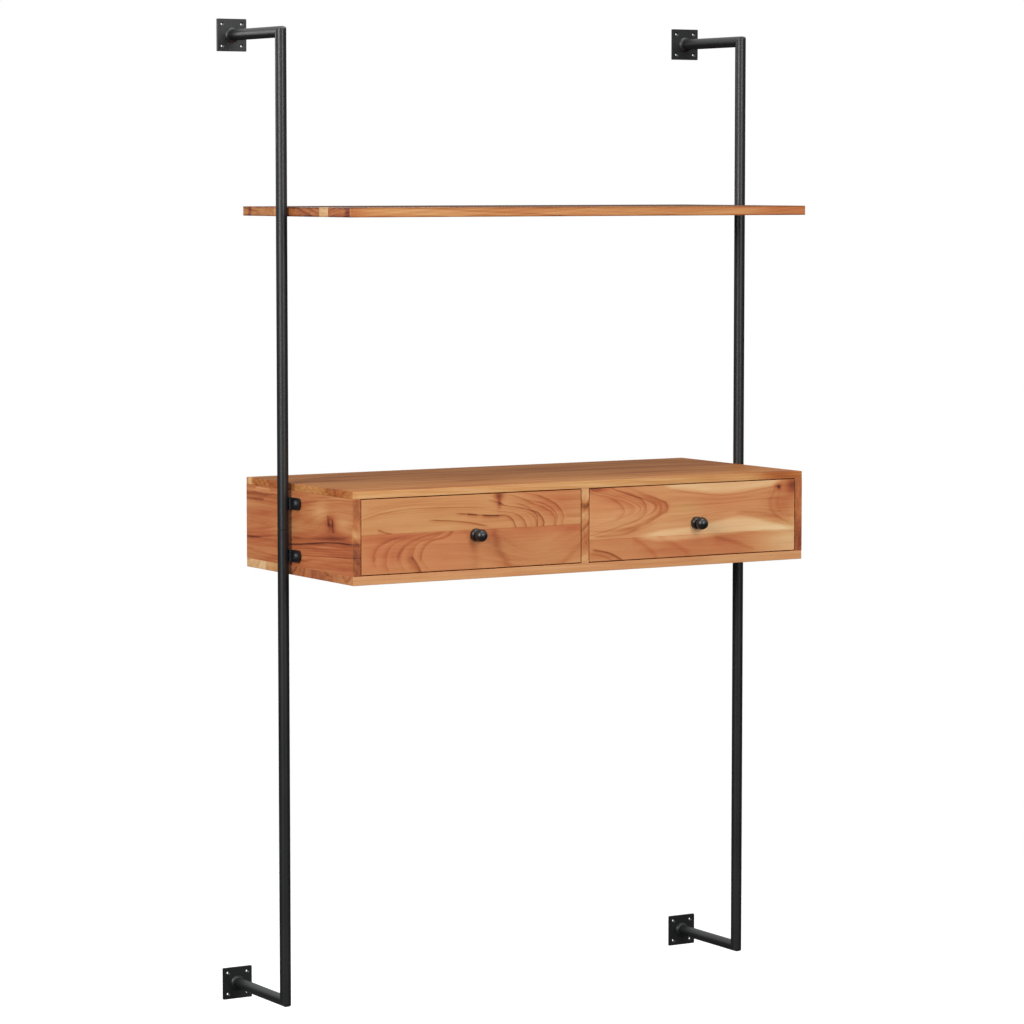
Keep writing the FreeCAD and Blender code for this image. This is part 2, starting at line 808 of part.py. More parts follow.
def runner(label):
    """A strip that stands on a face at its own x of zero, with countersunk screw holes."""
    body = new_body(label)
    half = dims.runner_height / 2
    section = new_sketch(body, "section", "y")
    add_rectangle(section, (0, runner_thickness), (-half, half))
    pad(body, section, "y", runner_length)
    cone = screw_head_radius - screw_radius
    for share in RUNNER_SCREW_SHARES:
        hole = new_sketch(body, "screw_hole", "y", runner_length * share)
        add_outline(
            hole,
            (-overrun, 0), (-overrun, snug_screw_radius), (runner_thickness - cone, snug_screw_radius),
            (runner_thickness + dims.snug_clearance, screw_head_radius + dims.snug_clearance),
            (runner_thickness + dims.snug_clearance, 0),
        )
        spin(body, hole, "Groove", "H_Axis")
    return body


def build_runners(side, start):
    """The two runners of one drawer opening and their screws."""
    walls = {
        "left": (start, AHEAD, 1, Z_TO_LEFT),
        "right": (start + opening_width, HALF_TURN, -1, Z_TO_RIGHT),
    }
    for wall, (x, turn, way, screw_turn) in walls.items():
        strip = runner(f"{side}_drawer_{wall}_runner")
        place(strip, x, desk_front + dims.runner_setback, desk_middle, turn)
        for share in RUNNER_SCREW_SHARES:
            screw = flush_screw("runner_screw", runner_thickness + dims.runner_screw_bite)
            y = desk_front + dims.runner_setback + runner_length * share
            place(screw, x + runner_thickness * way, y, desk_middle, screw_turn)
            runner_screws.append(screw)


def build_stop(side, start):
    """A turn button under the top, which the drawer's back meets at full travel."""
    body = new_body(f"{side}_drawer_stop")
    half_length = dims.stop_length / 2
    half_width = dims.stop_width / 2
    plan = new_sketch(body, "plan", "z")
    add_rounded_rectangle(
        plan, (-half_length, half_length), (-half_width, half_width), dims.stop_corner_radius
    )
    add_circle(plan, 0, 0, loose_screw_radius)
    pad(body, plan, "z", dims.stop_height)
    x = start + opening_width / 2
    z = top_underside - dims.stop_height
    place(body, x, stop_rear - half_width, z)
    screw = pan_screw("stop_screw", dims.stop_height + dims.stop_screw_bite)
    place(screw, x, stop_rear - half_width, z)
    stop_screws.append(screw)


# Drawers

def drawer_front(label):
    """The front board, housed at its rear for the sides and grooved for the bottom."""
    body = board(label, front_width, dims.front_thickness, front_height, dims.front_edge_round)
    glue = dims.glue_clearance
    rear = dims.front_thickness + overrun
    housing_floor = dims.front_thickness - dims.box_housing_depth - glue
    first = dims.runner_gap - dims.drawer_gap
    last = front_width - first - dims.box_side_thickness
    for name, x in (("left_housing", first), ("right_housing", last)):
        x_range = (x - glue, x + dims.box_side_thickness + glue)
        trench(body, name, x_range, (housing_floor, rear), (-overrun, box_side_height + glue))
    groove_start = first + dims.box_side_thickness
    groove_end = front_width - groove_start
    trench(
        body, "bottom_groove",
        (groove_start - overrun, groove_end + overrun),
        (dims.front_thickness - dims.box_groove_depth - glue, rear),
        (dims.box_bottom_raise - glue, box_floor_top + glue),
    )
    drill(body, "knob_hole", "y", 0, dims.front_thickness, loose_screw_radius, [(knob_x, knob_z)])
    return body


def drawer_side(label, outer_is_low):
    """A side board with a runner groove outside, and a bottom groove and a back housing inside."""
    thickness = dims.box_side_thickness
    body = board(label, thickness, box_side_length, box_side_height)
    glue = dims.glue_clearance

    def from_outside(low, high):
        if outer_is_low:
            return (low, high)
        return (thickness - high, thickness - low)

    runner_half = dims.runner_height / 2 + dims.running_clearance
    groove_front = dims.runner_setback - dims.running_clearance - box_side_start
    past_end = box_side_length + overrun
    trench(
        body, "runner_groove",
        from_outside(-overrun, dims.runner_bite + dims.running_clearance),
        (groove_front, past_end),
        (runner_middle - runner_half, runner_middle + runner_half),
    )
    trench(
        body, "bottom_groove",
        from_outside(thickness - dims.box_groove_depth - glue, thickness + overrun),
        (-overrun, past_end),
        (dims.box_bottom_raise - glue, box_floor_top + glue),
    )
    back_start = box_back_start - box_side_start
    trench(
        body, "back_housing",
        from_outside(thickness - dims.box_housing_depth - glue, thickness + overrun),
        (back_start - glue, back_start + dims.box_back_thickness + glue),
        (box_floor_top, box_side_height + overrun),
    )
    return body


def drawer_knob(label):
    """A turned spool along Z, standing on its base, with a round head and a blind bore for its screw."""
    body = new_body(label)
    base = dims.knob_base_diameter / 2
    base_round = dims.knob_base_round
    rim = base - base_round
    head = dims.knob_head_diameter / 2
    head_start = dims.knob_projection - dims.knob_head_height
    shoulder = head - rim
    dome = dims.knob_dome_height
    dome_radius = (head * head + dome * dome) / (dome * 2)
    half_waist = (head_start - dims.knob_base_height) / 2
    sag = rim - dims.knob_waist_diameter / 2
    waist_radius = (half_waist * half_waist + sag * sag) / (sag * 2)
    profile = new_sketch(body, "profile", "y")
    add_outline(
        profile,
        (snug_screw_radius, 0), (base, 0), (base, dims.knob_base_height - base_round),
        (rim, dims.knob_base_height, base_round, 1),
        (rim, head_start, waist_radius, -1),
        (head, head_start + shoulder, shoulder, 1),
        (head, dims.knob_projection - dome),
        (0, dims.knob_projection, dome_radius, 1),
        (0, dims.knob_bore_depth), (snug_screw_radius, dims.knob_bore_depth),
    )
    spin(body, profile)
    return body


def build_drawer(side, start):
    """One drawer, closed, with its front flush with the desk box."""
    front_x = start + dims.drawer_gap
    box_x = start + dims.runner_gap
    side_y = desk_front + box_side_start
    place(drawer_front(f"{side}_drawer_front"), front_x, desk_front, drawer_base)
    far_side_x = box_x + box_width - dims.box_side_thickness
    place(drawer_side(f"{side}_drawer_left_side", True), box_x, side_y, drawer_base)
    place(drawer_side(f"{side}_drawer_right_side", False), far_side_x, side_y, drawer_base)
    housing = dims.box_housing_depth
    back = board(
        f"{side}_drawer_back", box_inner_width + housing * 2, dims.box_back_thickness,
        box_side_height - box_floor_top,
    )
    inner_x = box_x + dims.box_side_thickness
    place(back, inner_x - housing, desk_front + box_back_start, drawer_base + box_floor_top)
    groove = dims.box_groove_depth
    floor_start = dims.front_thickness - groove
    floor = board(
        f"{side}_drawer_bottom", box_inner_width + groove * 2,
        drawer_length - dims.box_back_inset - floor_start, dims.box_bottom_thickness,
    )
    floor_z = drawer_base + dims.box_bottom_raise
    place(floor, inner_x - groove, desk_front + floor_start, floor_z)
    knob = drawer_knob(f"{side}_drawer_knob")
    place(knob, front_x + knob_x, desk_front, drawer_base + knob_z, Z_TO_FRONT)
    screw = pan_screw(
        f"{side}_drawer_knob_screw", dims.front_thickness + dims.knob_screw_bite, counted=True
    )
    screw_y = desk_front + dims.front_thickness
    place(screw, front_x + knob_x, screw_y, drawer_base + knob_z, Z_TO_FRONT)


# Assembly

bolts, washers, nuts, shelf_screws, runner_screws, stop_screws = [], [], [], [], [], []
build_frame_side("left", -1, AHEAD, AHEAD, Z_TO_RIGHT)
build_frame_side("right", 1, HALF_TURN, LEVEL_HALF_TURN, Z_TO_LEFT)
group("desk_lug_bolts", bolts)
group("desk_lug_washers", washers)
group("desk_lug_nuts", nuts)
group("shelf_tab_screws", shelf_screws)
build_shelf()
build_panels()
build_sides()
build_divider_and_back()
build_dowels()
for opening, opening_start in opening_starts.items():
    build_runners(opening, opening_start)
    build_stop(opening, opening_start)
    build_drawer(opening, opening_start)
group("runner_screws", runner_screws)
group("drawer_stop_screws", stop_screws)
doc.recompute()

# Every feature is sound, and every cut takes material away
CUTTING_FEATURES = ("PartDesign::Pocket", "PartDesign::Groove", "PartDesign::Hole")
for item in doc.Objects:
    if "Invalid" in item.State or "Error" in item.State:
        raise RuntimeError(f"{item.Label} failed: {item.State}")
    if item.TypeId in CUTTING_FEATURES and item.Shape.Volume >= item.BaseFeature.Shape.Volume:
        raise RuntimeError(f"{item.Label} cuts nothing")
for piece in pieces:
    if piece.Shape.isNull() or not piece.Shape.isValid():
        raise RuntimeError(f"{piece.Label} has no sound shape")

os.makedirs("parts", exist_ok=True)
for piece in pieces:
    piece.Shape.exportStep(f"parts/{piece.Label}.step")
print(len(pieces), "pieces,", sum(len(piece.Shape.Solids) for piece in pieces), "solids")
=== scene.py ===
import json
import math

import bpy
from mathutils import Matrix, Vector


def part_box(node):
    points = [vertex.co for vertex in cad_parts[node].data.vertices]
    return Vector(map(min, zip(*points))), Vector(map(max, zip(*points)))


# Looks of a floating wall desk: acacia boards and drawers on a black steel tube frame.
# Metres, in the part's own frame: X along the wall, Y into the wall, Z up.

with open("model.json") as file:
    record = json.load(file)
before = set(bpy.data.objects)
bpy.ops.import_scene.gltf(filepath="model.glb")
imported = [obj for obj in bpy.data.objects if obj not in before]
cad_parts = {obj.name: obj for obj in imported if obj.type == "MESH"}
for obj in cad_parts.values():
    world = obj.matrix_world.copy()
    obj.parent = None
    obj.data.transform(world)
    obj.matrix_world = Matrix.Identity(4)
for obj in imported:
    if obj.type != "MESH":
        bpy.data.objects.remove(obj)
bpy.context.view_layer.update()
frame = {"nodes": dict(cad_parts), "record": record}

# Camera of the photograph
CAMERA_PLACE = (-3.4617, -5.9236, 0.5729)
CAMERA_YAW = math.radians(30.988)
CAMERA_PITCH = math.radians(-4.920)
CAMERA_LENS_MM = 136.19
CAMERA_SENSOR_MM = 36.0
CAMERA_REACH = 100.0

# Floor and surroundings
FLOOR_HEIGHT = -1.0
FLOOR_SIDE = 6.0
FLOOR_FADE_START = 0.9
FLOOR_FADE_END = 2.6
FLOOR_GLOW = 0.5
FLOOR_BOUNCE = (90, 90, 90)
FLOOR_PAPER = ((246, 246, 246), (250, 250, 250))
FLOOR_CLOUD_GRAIN = 3.0
FLOOR_ROUGHNESS = 0.9
WHITE = (1.0, 1.0, 1.0, 1.0)
SURROUND_LIGHT = 0.28
GLOSS_BELOW = 0.04
GLOSS_ABOVE = 0.85
GLOSS_LOW_HEIGHT = 0.02
GLOSS_HIGH_HEIGHT = 0.34

# A tall key from the left, a tall fill from the front, a wide light from above and a weak rim
# light from behind: name, place, target, width, height and power
DESK_MIDDLE = (0.0, -0.2, 0.2)
LEFT_FRAME_TOP = (-0.46, -0.20, 0.83)
SOFTBOXES = (
    ("key", (-3.9, -2.0, 1.5), DESK_MIDDLE, 1.3, 2.6, 135.0),
    ("fill", (0.2, -4.8, 1.6), DESK_MIDDLE, 1.3, 2.6, 104.0),
    ("top", (0.2, -0.8, 3.2), DESK_MIDDLE, 2.6, 1.6, 52.0),
    ("rim", (-1.35, 1.10, 0.95), LEFT_FRAME_TOP, 0.8, 0.6, 5.0),
)


def srgb(red, green, blue):
    """A colour given as screen values from 0 to 255, as the linear colour that shaders use."""
    def linear(value):
        value /= 255
        return value / 12.92 if value <= 0.04045 else ((value + 0.055) / 1.055) ** 2.4
    return (linear(red), linear(green), linear(blue), 1.0)


# Shader arithmetic

class Field:
    """A number that varies over a surface, with plain arithmetic."""

    def __init__(self, graph, socket):
        self.graph = graph
        self.socket = socket

    def __add__(self, other):
        return self.graph.math("ADD", self, other)

    def __radd__(self, other):
        return self.graph.math("ADD", other, self)

    def __sub__(self, other):
        return self.graph.math("SUBTRACT", self, other)

    def __rsub__(self, other):
        return self.graph.math("SUBTRACT", other, self)

    def __mul__(self, other):
        return self.graph.math("MULTIPLY", self, other)

    def __rmul__(self, other):
        return self.graph.math("MULTIPLY", other, self)

    def __truediv__(self, other):
        return self.graph.math("DIVIDE", self, other)


class Graph:
    """The nodes of one tree. An input is a number, a colour, a Field or a node's output."""

    def __init__(self, tree):
        self.tree = tree
        tree.nodes.clear()

    def node(self, kind, inputs=(), **settings):
        node = self.tree.nodes.new("ShaderNode" + kind)
        for key, value in settings.items():
            setattr(node, key, value)
        for key, value in dict(inputs).items():
            self.feed(node.inputs[key], value)
        return node

    def feed(self, socket, value):
        if isinstance(value, Field):
            value = value.socket
        if isinstance(value, bpy.types.NodeSocket):
            self.tree.links.new(value, socket)
        else:
            socket.default_value = value

    def math(self, operation, *values, clamp=False):
        node = self.node("Math", enumerate(values), operation=operation, use_clamp=clamp)
        return Field(self, node.outputs[0])

    def scaled_sum(self, value, factor, base):
        """The value times the factor, plus the base."""
        return self.math("MULTIPLY_ADD", value, factor, base)

    def group(self, tree, *values):
        """The results of a node group for the given inputs."""
        node = self.node("Group", node_tree=tree)
        for socket, value in zip(node.inputs, values):
            self.feed(socket, value)
        return [Field(self, socket) for socket in node.outputs]

    def axes(self, output="Object"):
        """The surface point, its normal or a direction, as three numbers."""
        split = self.node("SeparateXYZ", {0: self.node("TexCoord").outputs[output]})
        return {axis: Field(self, split.outputs[axis.upper()]) for axis in "xyz"}

    def vector(self, x, y, z):
        return self.node("CombineXYZ", {0: x, 1: y, 2: z}).outputs[0]

    def noise(self, x, y, z, detail=2.0, roughness=0.5):
        """Smooth noise about zero, from -0.5 to 0.5, with one unit as its grain."""
        inputs = {"Vector": self.vector(x, y, z), "Scale": 1.0, "Detail": detail, "Roughness": roughness}
        return Field(self, self.node("TexNoise", inputs).outputs[0]) - 0.5

    def chance(self, value):
        """A random number from 0 to 1 for each whole value."""
        node = self.node("TexWhiteNoise", {"W": self.math("FLOOR", value)}, noise_dimensions="1D")
        return Field(self, node.outputs[0])

    def rise(self, value, low, high):
        """0 below low, 1 above high and smooth between; it falls where high is the lesser."""
        inputs = {"Value": value, "From Min": low, "From Max": high}
        node = self.node("MapRange", inputs, interpolation_type="SMOOTHSTEP")
        return Field(self, node.outputs[0])

    def bell(self, value):
        """1 where the value is zero, falling away on both sides."""
        return self.math("POWER", math.exp(-1.0), value * value)

    def curve(self, value, points):
        """A smooth line through given points (value, result)."""
        node = self.node("FloatCurve", {"Value": value})
        mapping = node.mapping
        mapping.use_clip = False
        mapping.clip_min_x = points[0][0]
        mapping.clip_max_x = points[-1][0]
        line = mapping.curves[0]
        while len(line.points) < len(points):
            line.points.new(*points[-1])
        for place, point in zip(line.points, points):
            place.location = point
        mapping.update()
        return Field(self, node.outputs[0])

    def ramp(self, value, stops):
        """The colour that the stops (place, colour) give for a value."""
        node = self.node("ValToRGB", {0: value})
        elements = node.color_ramp.elements
        while len(elements) < len(stops):
            elements.new(0.5)
        for element, (place, colour) in zip(elements, stops):
            element.position = place
            element.color = colour
        return node.outputs[0]

    def mix(self, share, first, second):
        """The first colour where the share is 0, the second where it is 1."""
        node = self.node("Mix", {0: share, 6: first, 7: second}, data_type="RGBA")
        return node.outputs[2]

    def bump(self, height, strength, distance):
        inputs = {"Height": height, "Strength": strength, "Distance": distance}
        return self.node("Bump", inputs).outputs[0]

    def finish(self, **inputs):
        """The surface shader; names are those of its sockets with underscores for spaces."""
        sockets = {name.replace("_", " "): value for name, value in inputs.items()}
        shader = self.node("BsdfPrincipled", sockets)
        self.node("OutputMaterial", {"Surface": shader.outputs[0]})


def new_material(name):
    """An empty node material and the graph that fills it."""
    material = bpy.data.materials.new(name)
    material.use_nodes = True
    return material, Graph(material.node_tree)


def node_group(name, inputs, results, build):
    """A reusable group of shader arithmetic, filled by `build` from the named inputs."""
    tree = bpy.data.node_groups.new(name, "ShaderNodeTree")
    for way, labels in (("INPUT", inputs), ("OUTPUT", results)):
        for label in labels:
            tree.interface.new_socket(label, in_out=way, socket_type="NodeSocketFloat")
    graph = Graph(tree)
    source = tree.nodes.new("NodeGroupInput")
    fields = build(graph, *[Field(graph, source.outputs[label]) for label in inputs])
    target = tree.nodes.new("NodeGroupOutput")
    for label, field in zip(results, fields):
        graph.feed(target.inputs[label], field)
    return tree


# Wood

YELLOW_WOOD = (
    (0.00, srgb(243, 214, 167)),
    (0.25, srgb(226, 184, 134)),
    (0.45, srgb(206, 152, 98)),
    (0.65, srgb(182, 119, 66)),
    (0.83, srgb(142, 83, 43)),
    (1.00, srgb(82, 45, 26)),
)
RED_WOOD = (
    (0.00, srgb(240, 206, 159)),
    (0.25, srgb(224, 169, 121)),
    (0.45, srgb(206, 136, 87)),
    (0.65, srgb(180, 98, 57)),
    (0.83, srgb(138, 66, 39)),
    (1.00, srgb(78, 38, 25)),
)

# Noise: cells in a metre along the grain and across it, and for the bands also through the board.
# The shift gives each stave its own part of the noise.
WANDER_GRAIN = 2.2
WARP_GRAIN = (7.0, 26.0)
RAGGED_GRAIN = (22.0, 90.0)
CLOUD_GRAIN = (5.0, 28.0)
STREAK_GRAIN = (6.0, 170.0)
BAND_GRAIN = (2.2, 60.0, 200.0)
THREAD_GRAIN = (11.0, 380.0)
CLEAR_GRAIN = (3.0, 9.0)
FIBRE_GRAIN = (34.0, 1500.0)
PORE_GRAIN = (110.0, 2300.0)
STAVE_SHIFT = 37.0

# Growth rings: reach of their bends and usual width in metres, and the shape of one ring
WANDER_REACH = 0.03
WARP_REACH = 0.008
FLOW_RING = 0.011
LINE_RISE, LINE_FALL = (0.66, 0.82), (0.96, 0.86)
SHADE_RISE, SHADE_FALL = (0.05, 0.75), (1.0, 0.78)
RING_FINE = 0.45
FAINT_RING = 0.15
CLEAR_RISE = (-0.22, 0.14)

# Broad colour
CLOUD_TONE = 0.24
STREAK_TONE = 0.20
THREAD_TONE = 0.13
CLOUD_RED = 0.9
CLOUD_VIGOUR = 1.6

# Lines, nests, areas and knots
SLOPE_STEP = 0.001
MARK_FADE = 0.16
MARK_RAGGED = 1.6
MARK_LINE = 0.65
MARK_SHADE_BEFORE, MARK_SHADE_AFTER = -7.0, 2.0
NEST_FADE = 0.15
NEST_RIM = 0.06
NEST_FAINT_RING = 0.2
NEST_FAST_WAVE, NEST_FAST_REACH = 9.0, 0.06
NEST_SLOW_WAVE, NEST_SLOW_REACH = 5.0, 0.05
SWAY_RAGGED = 0.35
SWAY_WARP = 1.1
AREA_RAGGED = 1.6
HALO_LENGTH, HALO_HEIGHT = 2.6, 2.2
HALO_TONE = 0.35
HALO_RED = 0.5

# Edges, glue lines, painted shade on arrises and faces, fibres and finish
GLUE_WIDTH = 0.0006
GLUE_TONE = 0.10
ARRIS_SHADE_WIDTH = 0.0022
ARRIS_SHADE_TONE = 0.30
ARRIS_SHADE_RED = -0.4
ARRIS_SHADE_FALL = (0.95, 0.5)
EDGE_FALL = (0.6, 0.3)
SHADE_FACE_RISE = (0.4, 0.9)
END_GRAIN_RISE = (0.6, 0.9)
END_GRAIN_TONE = 0.10
FIBRE_TONE = 0.12
PORE_RISE = (0.17, 0.26)
PORE_TONE = 0.09
FIBRE_RELIEF, PORE_RELIEF, LATE_RELIEF = 0.5, 0.8, 0.3
RELIEF_STRENGTH, RELIEF_DEPTH = 0.35, 0.0003
WOOD_ROUGHNESS, FIBRE_ROUGHNESS, LATE_ROUGHNESS = 0.54, 0.16, 0.05
LACQUER_ROUGHNESS = 0.10


class Stave:
    """One of the boards glued side by side, up to `edge` across the grain, with its own figure."""

    def __init__(self, edge, tone, red, centre, depth=0.05, tilt=0.0, ring=0.011,
                 swirls=(), nests=(), marks=()):
        self.edge = edge
        self.tone = tone
        self.red = red
        self.centre = centre
        self.depth = depth
        self.tilt = tilt
        self.ring = ring
        self.swirls = swirls
        self.nests = nests
        self.marks = marks


class Swirl:
    """An eye in the growth rings, longer to one side of its middle than to the other."""

    def __init__(self, along, across, before, after, height, rings):
        self.along = along
        self.across = across
        self.before = before
        self.after = after
        self.height = height
        self.rings = rings


class Nest:
    """Growth rings that fill the room between two lines of points (along, across).

    Steep lines run more across than along. Where `limits` is given, the rings show in full
    beyond its first place along the grain and not at all beyond its second. A thin line takes
    the share `fine` of each ring's darkness and soft shade takes the rest.
    """

    def __init__(self, count, tone, near, far, steep=False, limits=None, fine=RING_FINE):
        self.count = count
        self.tone = tone
        self.near = near
        self.far = far
        self.steep = steep
        self.limits = limits
        self.fine = fine


class Mark:
    """One grain line through points (along, across); a steep one runs more across than along."""

    def __init__(self, half_width, tone, *points, steep=False):
        self.half_width = half_width
        self.tone = tone
        self.points = points
        self.steep = steep


class Area:
    """Pale sapwood or dark heartwood between a lower and an upper line of points (along, across)."""

    def __init__(self, tone, red, soft, lower, upper):
        self.tone = tone
        self.red = red
        self.soft = soft
        self.lower = lower
        self.upper = upper


class Wash:
    """A soft oval patch that adds to the tone and the redness."""

    def __init__(self, along, across, length, height, tone, red=0.0):
        self.along = along
        self.across = across
        self.length = length
        self.height = height
        self.tone = tone
        self.red = red


class ShadeFace:
    """Painted shade: what the faces that look one way along an axis add to the tone and the redness."""

    def __init__(self, axis, way, tone, red):
        self.axis = axis
        self.way = way
        self.tone = tone
        self.red = red


class Knot:
    """A dark knot with a reddish halo."""

    def __init__(self, along, across, length, height, tone=0.5):
        self.along = along
        self.across = across
        self.length = length
        self.height = height
        self.tone = tone


def patch_group():
    """An oval patch: 1 in its middle, falling away with the distance."""
    def build(graph, g, a, along, across, length, height):
        x, y = (g - along) / length, (a - across) / height
        return [graph.math("POWER", math.exp(-1.0), x * x + y * y)]
    inputs = ("g", "a", "along", "across", "length", "height")
    return node_group("wood_patch", inputs, ("cover",), build)


def mark_group():
    """A thin line, shaded on one side, that fades at its ends, added to the tone."""
    def build(graph, tone, amount, ragged, run, off_axis, line, ahead, first, last, half_width):
        fade = (last - first) * MARK_FADE
        ends = graph.rise(run, first, first + fade) * graph.rise(run, last, last - fade)
        slope = (ahead - line) / SLOPE_STEP
        width = graph.math("SQRT", slope * slope + 1.0) * half_width
        off = (off_axis - line) / width + ragged * MARK_RAGGED
        shade = graph.rise(off, MARK_SHADE_BEFORE, 0.0) * graph.rise(off, MARK_SHADE_AFTER, 0.0)
        cover = graph.bell(off) * MARK_LINE + shade * (1.0 - MARK_LINE)
        return [graph.scaled_sum(cover * ends, amount, tone)]
    inputs = ("tone", "amount", "ragged", "run", "off_axis", "line", "ahead", "first", "last", "half_width")
    return node_group("wood_mark", inputs, ("tone",), build)


def nest_group():
    """Growth rings between two lines, added to the tone, and the room that they fill."""
    def build(graph, tone, amount, sway, run, off_axis, near, far, first, last, count, seed, fine):
        share = (off_axis - near) / (far - near)
        fade = (last - first) * NEST_FADE
        ends = graph.rise(run, first, first + fade) * graph.rise(run, last, last - fade)
        inside = graph.rise(share, -NEST_RIM, NEST_RIM) * graph.rise(share, 1.0 + NEST_RIM, 1.0 - NEST_RIM)
        room = inside * ends
        uneven = graph.math("SINE", share * NEST_FAST_WAVE + seed) * NEST_FAST_REACH
        uneven = graph.math("SINE", share * NEST_SLOW_WAVE - seed) * NEST_SLOW_REACH + uneven
        phase = (share + uneven) * count + sway
        chance = graph.chance(phase + seed)
        strength = chance * chance * (1.0 - NEST_FAINT_RING) + NEST_FAINT_RING
        cover = ring_shade(graph, phase, fine) * strength * room
        return [graph.scaled_sum(cover, amount, tone), room]
    inputs = ("tone", "amount", "sway", "run", "off_axis", "near", "far", "first", "last",
              "count", "seed", "fine")
    return node_group("wood_nest", inputs, ("tone", "room"), build)


def ring_shade(graph, phase, fine):
    """Each ring darkens slowly to a line of late wood, which takes the share `fine`."""
    within = graph.math("FRACT", phase)
    line = graph.rise(within, *LINE_RISE) * graph.rise(within, *LINE_FALL)
    shade = graph.rise(within, *SHADE_RISE) * graph.rise(within, *SHADE_FALL)
    return (line - shade) * fine + shade


PATCH = patch_group()
MARK = mark_group()
NEST = nest_group()


def as_run(item, points):
    """Points (along, across) as (run, off axis), where a steep line runs across the grain."""
    return [point[::-1] for point in points] if item.steep else points


def acacia(name, grain, across, staves, seed, contrast=1.0, rings=0.3, bands=0.0, slant=0.0, gloss=0.3,
           lacquer=0.0, areas=(), washes=(), knots=(), faces=(), shaded_arrises=()):
    """Edge-glued acacia: growth rings, colour bands, the given figure, fibres and pores.

    `slant` tilts the bands on the board's edges. `lacquer` is the weight of a smooth clear coat.
    `shaded_arrises` are the heights of edges that get painted shade, darker than the faces beside them.
    """
    material, graph = new_material(name)
    axes = graph.axes()
    through = (set("xyz") - {grain, across}).pop()
    g, a, t = axes[grain], axes[across], axes[through]
    normal = graph.axes("Normal")
    steps = [graph.math("GREATER_THAN", a, stave.edge) for stave in staves[:-1]]

    def of_stave(label):
        """The value that each stave has under a label, over the surface."""
        values = [getattr(stave, label) for stave in staves]
        total = values[0]
        for step, before, after in zip(steps, values, values[1:]):
            total = graph.scaled_sum(step, after - before, total)
        return total

    def on_stave(number):
        """1 on one stave and 0 on the others."""
        cover = 1.0 if number == 0 else steps[number - 1]
        return cover if number == len(steps) else cover * (1.0 - steps[number])

    # Growth rings about a pith that wanders along the grain
    shift = of_stave("centre") * STAVE_SHIFT + seed
    wander = graph.noise(g * WANDER_GRAIN, shift, seed, detail=1.0)
    along, sideways = WARP_GRAIN
    warp = graph.noise(g * along, a * sideways, t * sideways + shift, detail=3.0)
    along, sideways = RAGGED_GRAIN
    ragged = graph.noise(g * along, a * sideways, shift, detail=3.0)
    from_centre = a - of_stave("centre") - wander * WANDER_REACH
    below = t + of_stave("depth") + of_stave("tilt") * g
    radius = graph.math("SQRT", from_centre * from_centre + below * below) + warp * WARP_REACH
    phase = radius / of_stave("ring")
    for number, stave in enumerate(staves):
        for swirl in stave.swirls:
            step = g - swirl.along
            reach = graph.math("MAXIMUM", step / swirl.after, step / -swirl.before)
            cover, = graph.group(PATCH, reach, a, 0.0, swirl.across, 1.0, swirl.height)
            phase = graph.scaled_sum(cover, on_stave(number) * swirl.rings, phase)

    # Broad colour, from pale sapwood at 0 to dark lines at 1, along the flow of the rings
    flow = phase * FLOW_RING
    along, sideways = CLOUD_GRAIN
    cloud = graph.noise(g * along, flow * sideways, shift, detail=2.0)
    along, sideways = STREAK_GRAIN
    streak = graph.noise(g * along, flow * sideways, shift, detail=3.0)
    lean = 0.0
    if slant:
        lean = graph.rise(graph.math("ABSOLUTE", normal[through]), *EDGE_FALL) * g * slant
    along, sideways, deep = BAND_GRAIN
    band = graph.noise(g * along, a * sideways, t * deep + shift - lean, detail=3.0, roughness=0.65)
    along, sideways = THREAD_GRAIN
    thread = graph.noise(g * along, a * sideways, t * sideways + shift, detail=2.0)
    tone = of_stave("tone") + cloud * (CLOUD_TONE * contrast) + streak * (STREAK_TONE * contrast)
    tone = thread * (THREAD_TONE * contrast) + band * bands + tone
    red = of_stave("red") + cloud * CLOUD_RED
    vigour = cloud * CLOUD_VIGOUR + 1.0

    # The figure of each stave
    room = 0.0
    sway = ragged * SWAY_RAGGED + warp * SWAY_WARP
    ahead = {False: g + SLOPE_STEP, True: a + SLOPE_STEP}
    for number, stave in enumerate(staves):
        strength = vigour * on_stave(number)
        for order, nest in enumerate(stave.nests):
            run, off_axis = (a, g) if nest.steep else (g, a)
            near, far = as_run(nest, nest.near), as_run(nest, nest.far)
            amount = strength * nest.tone
            if nest.limits:
                amount = graph.rise(g, nest.limits[1], nest.limits[0]) * amount
            tone, filled = graph.group(
                NEST, tone, amount, sway, run, off_axis, graph.curve(run, near), graph.curve(run, far),
                near[0][0], near[-1][0], nest.count, seed + order, nest.fine,
            )
            room = graph.math("MAXIMUM", filled * on_stave(number), room)
        for mark in stave.marks:
            run, off_axis = (a, g) if mark.steep else (g, a)
            points = as_run(mark, mark.points)
            tone, = graph.group(
                MARK, tone, strength * mark.tone, ragged, run, off_axis,
                graph.curve(run, points), graph.curve(ahead[mark.steep], points),
                points[0][0], points[-1][0], mark.half_width,
            )
    chance = graph.chance(phase + seed)
    along, sideways = CLEAR_GRAIN
    clear = graph.rise(graph.noise(g * along, a * sideways, shift, detail=1.0), *CLEAR_RISE)
    strength = chance * chance * (1.0 - FAINT_RING) + FAINT_RING
    late = ring_shade(graph, phase, RING_FINE) * strength * clear * (1.0 - room)
    tone = graph.scaled_sum(late, rings, tone)

